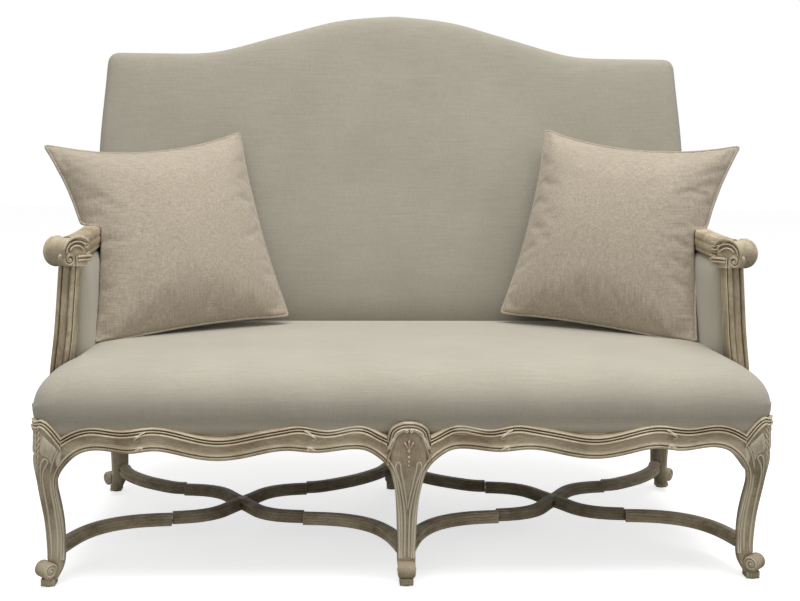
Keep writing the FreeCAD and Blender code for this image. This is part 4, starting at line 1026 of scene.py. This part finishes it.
def inner_arm():
    """The padded panel inside the right arm."""
    near = [0, 0.8, 2, 4.5, 8, 13, 20, 32]
    front, low = 127.0, 352.0
    inside, outside = 640.5, 667.8
    rings = []
    for y in [front + e for e in near] + list(np.linspace(180, 540, 14)):
        top = arm_underside(y) - 1
        ring = []
        for z in [low] + list(np.linspace(low + 12, top - 40, 12)) + [top - e for e in near[::-1][1:]]:
            inset = min(y - front, top - z)
            roll = 16.0 * max(0.0, 1 - inset / 32.0) ** 2.2
            corner = 9.0 * max(0.0, 1 - inset / 3.0)
            ring.append(at(inside + roll + corner, min(y, back_y(z) - 1.5), z))
        ring += [at(outside, min(y, back_y(z) - 1.5), z) for z in (top, (top + low) / 2, low)]
        rings.append(ring)
    return lofted(rings)


def outer_arm():
    """The covered panel outside the right arm."""
    front, back, low = 132.0, 570.0, 341.0
    thick = 3.4
    rings = []
    for y in np.linspace(front, back, 24):
        top = arm_underside(y) - 0.6
        share = (y - front) / (back - front)
        ring = []
        for z in np.linspace(low, top, 14):
            bulge = 1.2 * math.sin(math.pi * (z - low) / (top - low)) * math.sin(math.pi * share)
            lean = straight([(low, 711), (560, 688 + 6 * share), (700, 683 + 10 * share)], z)
            ring.append((lean + bulge, min(y, back_y(z) + 95), z))
        rings.append([at(*p) for p in ring] + [at(x - thick, y, z) for x, y, z in ring[::-1]])
    return lofted(rings)


# Loose cushions

# Middle of each cushion, then the degrees that it is turned in, leaned back and tilted
CUSHIONS = {"left": ((-511.0, 380.0, 664.0), -27.4, 24.8, 4.6),
            "right": ((497.0, 383.0, 671.0), 29.8, 21.8, -4.9)}
CUSHION_HALF = 231.5
CUSHION_DEEP = 63.0
# How far each side is drawn in at its middle, as a share of the half size: left, right, bottom, top
DRAWN_IN = {"left": (0.18, 0.05, 0.05, 0.15), "right": (0.07, 0.15, 0.04, 0.14)}
CELLS = 60
CORD_RADIUS = 3.1
# The arms' inner side, where a cushion leans on it
ARM_INNER = 639.0


def cushion_axes(turn, lean, tilt):
    """Across, up and facing directions of a cushion turned inwards, leaned back and tilted."""
    turn, lean, tilt = (math.radians(v) for v in (-turn, lean, tilt))
    level = Vector((math.cos(turn), math.sin(turn), 0))
    facing = Vector((level.y * math.cos(lean), -level.x * math.cos(lean), math.sin(lean)))
    upright = facing.cross(level)
    across = level * math.cos(tilt) + upright * math.sin(tilt)
    up = upright * math.cos(tilt) - level * math.sin(tilt)
    return across, up, facing


def cushion_cloth(name, side):
    """Two layers of cloth sewn round the edge, filled out, and let settle into small creases."""
    drawn = DRAWN_IN[side]
    bm = bmesh.new()
    for layer in (-1, 1):
        made = bmesh.ops.create_grid(bm, x_segments=CELLS, y_segments=CELLS, size=1.0)
        for v in made["verts"]:
            u, w = v.co.x, v.co.y
            beside = drawn[1] if u > 0 else drawn[0]
            above = drawn[3] if w > 0 else drawn[2]
            x = CUSHION_HALF * (u - beside * u ** 3 * (1 - w * w))
            y = CUSHION_HALF * (w - above * w ** 3 * (1 - u * u))
            full = max(0.0, (1 - u * u) * (1 - w * w)) ** 0.5
            v.co = Vector((x, y, layer * CUSHION_DEEP * full)) * MM
    bmesh.ops.remove_doubles(bm, verts=bm.verts, dist=1e-5)
    face_outwards(bm)
    bm.verts.index_update()
    seam = sorted((v for v in bm.verts if abs(v.co.z) < 1e-7), key=lambda v: math.atan2(v.co.y, v.co.x))
    seam = [v.index for v in seam]
    shell = object_from(name, bm)
    held = shell.vertex_groups.new(name="seam")
    held.add(seam, 1.0, "REPLACE")
    cloth = shell.modifiers.new("cloth", "CLOTH")
    settings = cloth.settings
    settings.quality = 6
    settings.mass = 0.25
    settings.tension_stiffness = 30
    settings.compression_stiffness = 30
    settings.shear_stiffness = 8
    settings.bending_stiffness = 0.25
    settings.vertex_group_mass = "seam"
    settings.shrink_min = -0.018
    settings.use_pressure = True
    settings.uniform_pressure_force = 5.0
    settings.effector_weights.gravity = 0.0
    cloth.collision_settings.use_collision = False
    cloth.point_cache.frame_end = 30
    finer = shell.modifiers.new("finer", "SUBSURF")
    finer.levels = 1
    finer.render_levels = 1
    for step in range(1, 21):
        bpy.context.scene.frame_set(step)
    graph = bpy.context.evaluated_depsgraph_get()
    shaped = bpy.data.meshes.new_from_object(shell.evaluated_get(graph))
    bpy.data.objects.remove(shell)
    bpy.context.scene.frame_set(1)
    return shaped, seam


def cushion(name, side):
    centre, turn, lean, tilt = CUSHIONS[side]
    across, up, facing = cushion_axes(turn, lean, tilt)
    shaped, seam = cushion_cloth(name, side)
    place = at(*centre)
    turned = Matrix((across, up, facing)).transposed()
    for v in shaped.vertices:
        v.co = place + turned @ v.co
        x, y, z = v.co.x / MM, v.co.y / MM + MIDDLE_Y, v.co.z / MM
        z = max(z, SEAT_CROWN + 0.8)
        y = min(y, back_y(z) - 1.0)
        # Cloth that would lie inside an arm goes on top of it or against its inner side
        over = arm_top(max(y, 100)) + 1.5
        if abs(x) > ARM_INNER and z < over:
            if over - z < (abs(x) - ARM_INNER - 0.2) * 0.9:
                z = over
            else:
                x = math.copysign(ARM_INNER + 0.2, x)
        v.co = at(x, y, z)
    seam_points = [shaped.vertices[i].co.copy() for i in seam]
    bm = bmesh.new()
    bm.from_mesh(shaped)
    body = side + "_cushion"
    piece = finish_piece(name, bm, cushion_linen, body,
                         ("cushion_cover_" + side, "cushion_insert_" + side), 0)
    loop = [p + (p - place).normalized() * (1.2 * MM) for p in seam_points]
    n = len(loop)
    smooth = [(loop[i - 1] + loop[i] * 2 + loop[(i + 1) % n]) / 4 for i in range(n)]
    angles = [k * math.pi / 4 for k in range(8)]
    rings = []
    for i, q in enumerate(smooth):
        t = (smooth[(i + 1) % n] - smooth[i - 1]).normalized()
        a = (facing - t * facing.dot(t)).normalized()
        b = t.cross(a)
        rings.append([q + (a * math.cos(angle) + b * math.sin(angle)) * (CORD_RADIUS * MM)
                      for angle in angles])
    cord = bmesh.new()
    loft(cord, rings + rings[:1], ends=False)
    finish_piece(name + "_piping", cord, cushion_linen, body, (), 0)


# Make the woodwork

FRONT_BEND = [(0.42, 0.08), (0.72, 0.29), (0.88, 0.56)]
REAR_BEND = [(0.30, 0.12), (0.54, 0.30), (0.78, 0.56), (0.93, 0.80)]

hub = bar(horn_line(-1), 60, 0.93)
crossing = bar(horn_line(1), 60, 0.93, -0.05)
add_mesh(hub, crossing)
crossing.free()
# Pieces of the right half, made again mirrored for the left: name, shape, finish, replaced node
paired = [("carved_leg_front", corner_leg(FRONT_PAD, FRONT_ANKLE, -1, 1.0, True), oak_upright, "front_leg"),
          ("leg_rear", corner_leg(REAR_PAD, REAR_ANKLE, 1, REAR_SWAY, False), oak_upright, "rear_leg"),
          ("carved_rail_front", front_rail(), oak_across, "front_rail"),
          ("carved_rail_side", side_rail(), oak_deep, "side_rail"),
          ("arm", arm_rail(), oak_deep, "arm_rail"),
          ("arm_support", stump(), oak_upright, "arm_stump"),
          ("stretcher_cross", hub, oak_low_shaded, "stretcher_hub")]
# The hub and the rear bars take the darker stretcher oak, a painted shade; the front bars take the rail's
# lighter oak.
for name, end, bend, wood in (("front_outer", (686.0, 33.0), FRONT_BEND, oak_across),
                              ("front_inner", (6.0, 15.0), FRONT_BEND, oak_across),
                              ("rear_outer", (662.0, 582.0), REAR_BEND, oak_low_shaded),
                              ("rear_inner", (14.0, 584.0), REAR_BEND, oak_low_shaded)):
    paired.append(("stretcher_bar_" + name, bar(arm_line(end, bend), 40), wood, "stretcher_" + name))
for side in ("right", "left"):
    for name, shape, wood, node in paired:
        made = shape.copy() if side == "right" else mirrored(shape)
        finish_piece(name + "_" + side, made, wood, replaces=(node + "_" + side,))
middle_front = centre_leg((0.0, -18.0), (0.0, -4.0), -1, 1.0, 1.0, True)
finish_piece("carved_leg_front_centre", middle_front, oak_upright, replaces=("front_leg_centre",))
middle_rear = centre_leg((0.0, 619.0), (0.0, 592.0), 1, REAR_SWAY, 0.8, False)
finish_piece("leg_rear_centre", middle_rear, oak_upright, replaces=("rear_leg_centre",))

# Make the upholstery

seat_piece = finish_piece("seat_upholstery", seat(), settee_linen,
                          replaces=("seat_cover", "seat_pad", "seat_hessian"), sharp=0, smooth=1)
back_piece = finish_piece("back_upholstery", lofted(back_rings(0.0, 92.0, -97.0)), back_linen_shaded,
                          replaces=("back_cover", "back_pad", "back_hessian", "back_webbing"), sharp=0,
                          smooth=1)
outside = finish_piece("outside_back", lofted(back_rings(92.2, 95.0, -104.0)), settee_linen,
                       replaces=("outside_back_cover",), sharp=40)
for side in ("right", "left"):
    flip = (lambda shape: shape) if side == "right" else mirrored
    pad = finish_piece("inner_arm_" + side, flip(inner_arm()), settee_linen,
                       replaces=("arm_cover_" + side, "arm_pad_" + side), sharp=0)
    panel = finish_piece("outer_arm_" + side, flip(outer_arm()), settee_linen,
                         replaces=("outside_arm_cover_" + side,), sharp=40)
    cushion("cushion_" + side, side)

bm = bmesh.new()
bmesh.ops.create_cube(bm, size=1.0, matrix=Matrix.Translation(at(0, 273, 289.1))
                      @ Matrix.Diagonal((1.334, 0.550, 0.0012, 1)))
dust = finish_piece("underside_cloth", bm, cambric, replaces=("dust_cover",), sharp=40)

# Nodes that no piece replaces keep the part's own shapes
STEEL_NODES = ("block_screws", "nail_glides", "seat_springs", "spring_clips")
BEECH_NODES = ("corner_blocks", "cross_rail", "back_post_left", "back_post_right", "back_top_rail",
               "back_bottom_rail", "back_muntin")
for name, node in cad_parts.items():
    if name in STEEL_NODES:
        finish = steel
    elif name in BEECH_NODES:
        finish = beech
    else:
        finish = oak_across
    node.data.materials.clear()
    node.data.materials.append(finish)

# Floor, light and camera

bm = bmesh.new()
bmesh.ops.create_grid(bm, x_segments=1, y_segments=1, size=14)
floor = object_from("floor", bm)
paper = Nodes(bpy.data.materials.new("white paper"))
shader = paper.nodes["Principled BSDF"]
shader.inputs["Base Color"].default_value = (0.86, 0.86, 0.86, 1)
shader.inputs["Roughness"].default_value = 0.9
shader.inputs["Specular IOR Level"].default_value = 0.0
glow = paper.add("Emission", "Emission", {"Strength": 0.66})
bounce = paper.add("BsdfDiffuse", "BSDF", {"Color": (0.34, 0.33, 0.31)})
lit = paper.add("AddShader", "Shader", {0: shader.outputs["BSDF"], 1: glow})
# The camera sees bright paper, while the settee gets a softer bounce from it
to_camera = paper.add("LightPath", "Is Camera Ray", {})
shown = paper.add("MixShader", "Shader", {0: to_camera, 1: bounce, 2: lit})
paper.give(paper.nodes["Material Output"].inputs["Surface"], shown)
floor.data.materials.append(paper.owner)

bpy.context.scene.world = bpy.data.worlds.new("studio")
studio = Nodes(bpy.context.scene.world)
sky = studio.nodes["Background"]
sky.inputs["Color"].default_value = (1, 1, 1, 1)
sky.inputs["Strength"].default_value = 0.37
white = studio.add("Background", "Background", {"Color": (1, 1, 1), "Strength": 1.0})
rays = studio.nodes.new("ShaderNodeLightPath").outputs
seen = studio.add("Math", "Value", {0: rays["Is Camera Ray"], 1: rays["Is Glossy Ray"]}, operation="MAXIMUM")
chosen = studio.add("MixShader", "Shader", {0: seen, 1: sky.outputs["Background"], 2: white})
studio.give(studio.nodes["World Output"].inputs["Surface"], chosen)


def lamp(name, place, target, size, power):
    data = bpy.data.lights.new(name, "AREA")
    data.shape = "RECTANGLE"
    data.size, data.size_y = size
    data.energy = power
    lamp_object = add_object(name, data)
    lamp_object.location = place
    lamp_object.rotation_euler = (Vector(target) - Vector(place)).to_track_quat("-Z", "Y").to_euler()


lamp("overhead softbox", (0.2, -0.9, 3.6), (0, 0.1, 0.5), (3.2, 2.2), 120)
lamp("front softbox", (-1.8, -4.2, 2.3), (0, 0, 0.5), (2.4, 2.0), 17)
lamp("side softbox", (3.2, -2.6, 1.9), (0, 0, 0.5), (1.8, 1.8), 12)

camera = add_object("camera", bpy.data.cameras.new("camera"))
bpy.context.scene.camera = camera
yaw, pitch, roll = math.radians(3.006), math.radians(7.651), math.radians(0.488)
ahead = Vector((math.sin(yaw) * math.cos(pitch), math.cos(yaw) * math.cos(pitch), -math.sin(pitch)))
level = Vector((math.cos(yaw), -math.sin(yaw), 0))
upward = level.cross(ahead)
right = level * math.cos(roll) + upward * math.sin(roll)
upward = upward * math.cos(roll) - level * math.sin(roll)
turn = Matrix((right, upward, -ahead)).transposed().to_4x4()
camera.matrix_world = Matrix.Translation(at(-129.16, -2148.96, 853.33)) @ turn
camera.data.sensor_width = 36.0
camera.data.lens = 1126.98 / 800 * 36.0
camera.data.clip_end = 60

bpy.context.scene.view_settings.view_transform = "Standard"
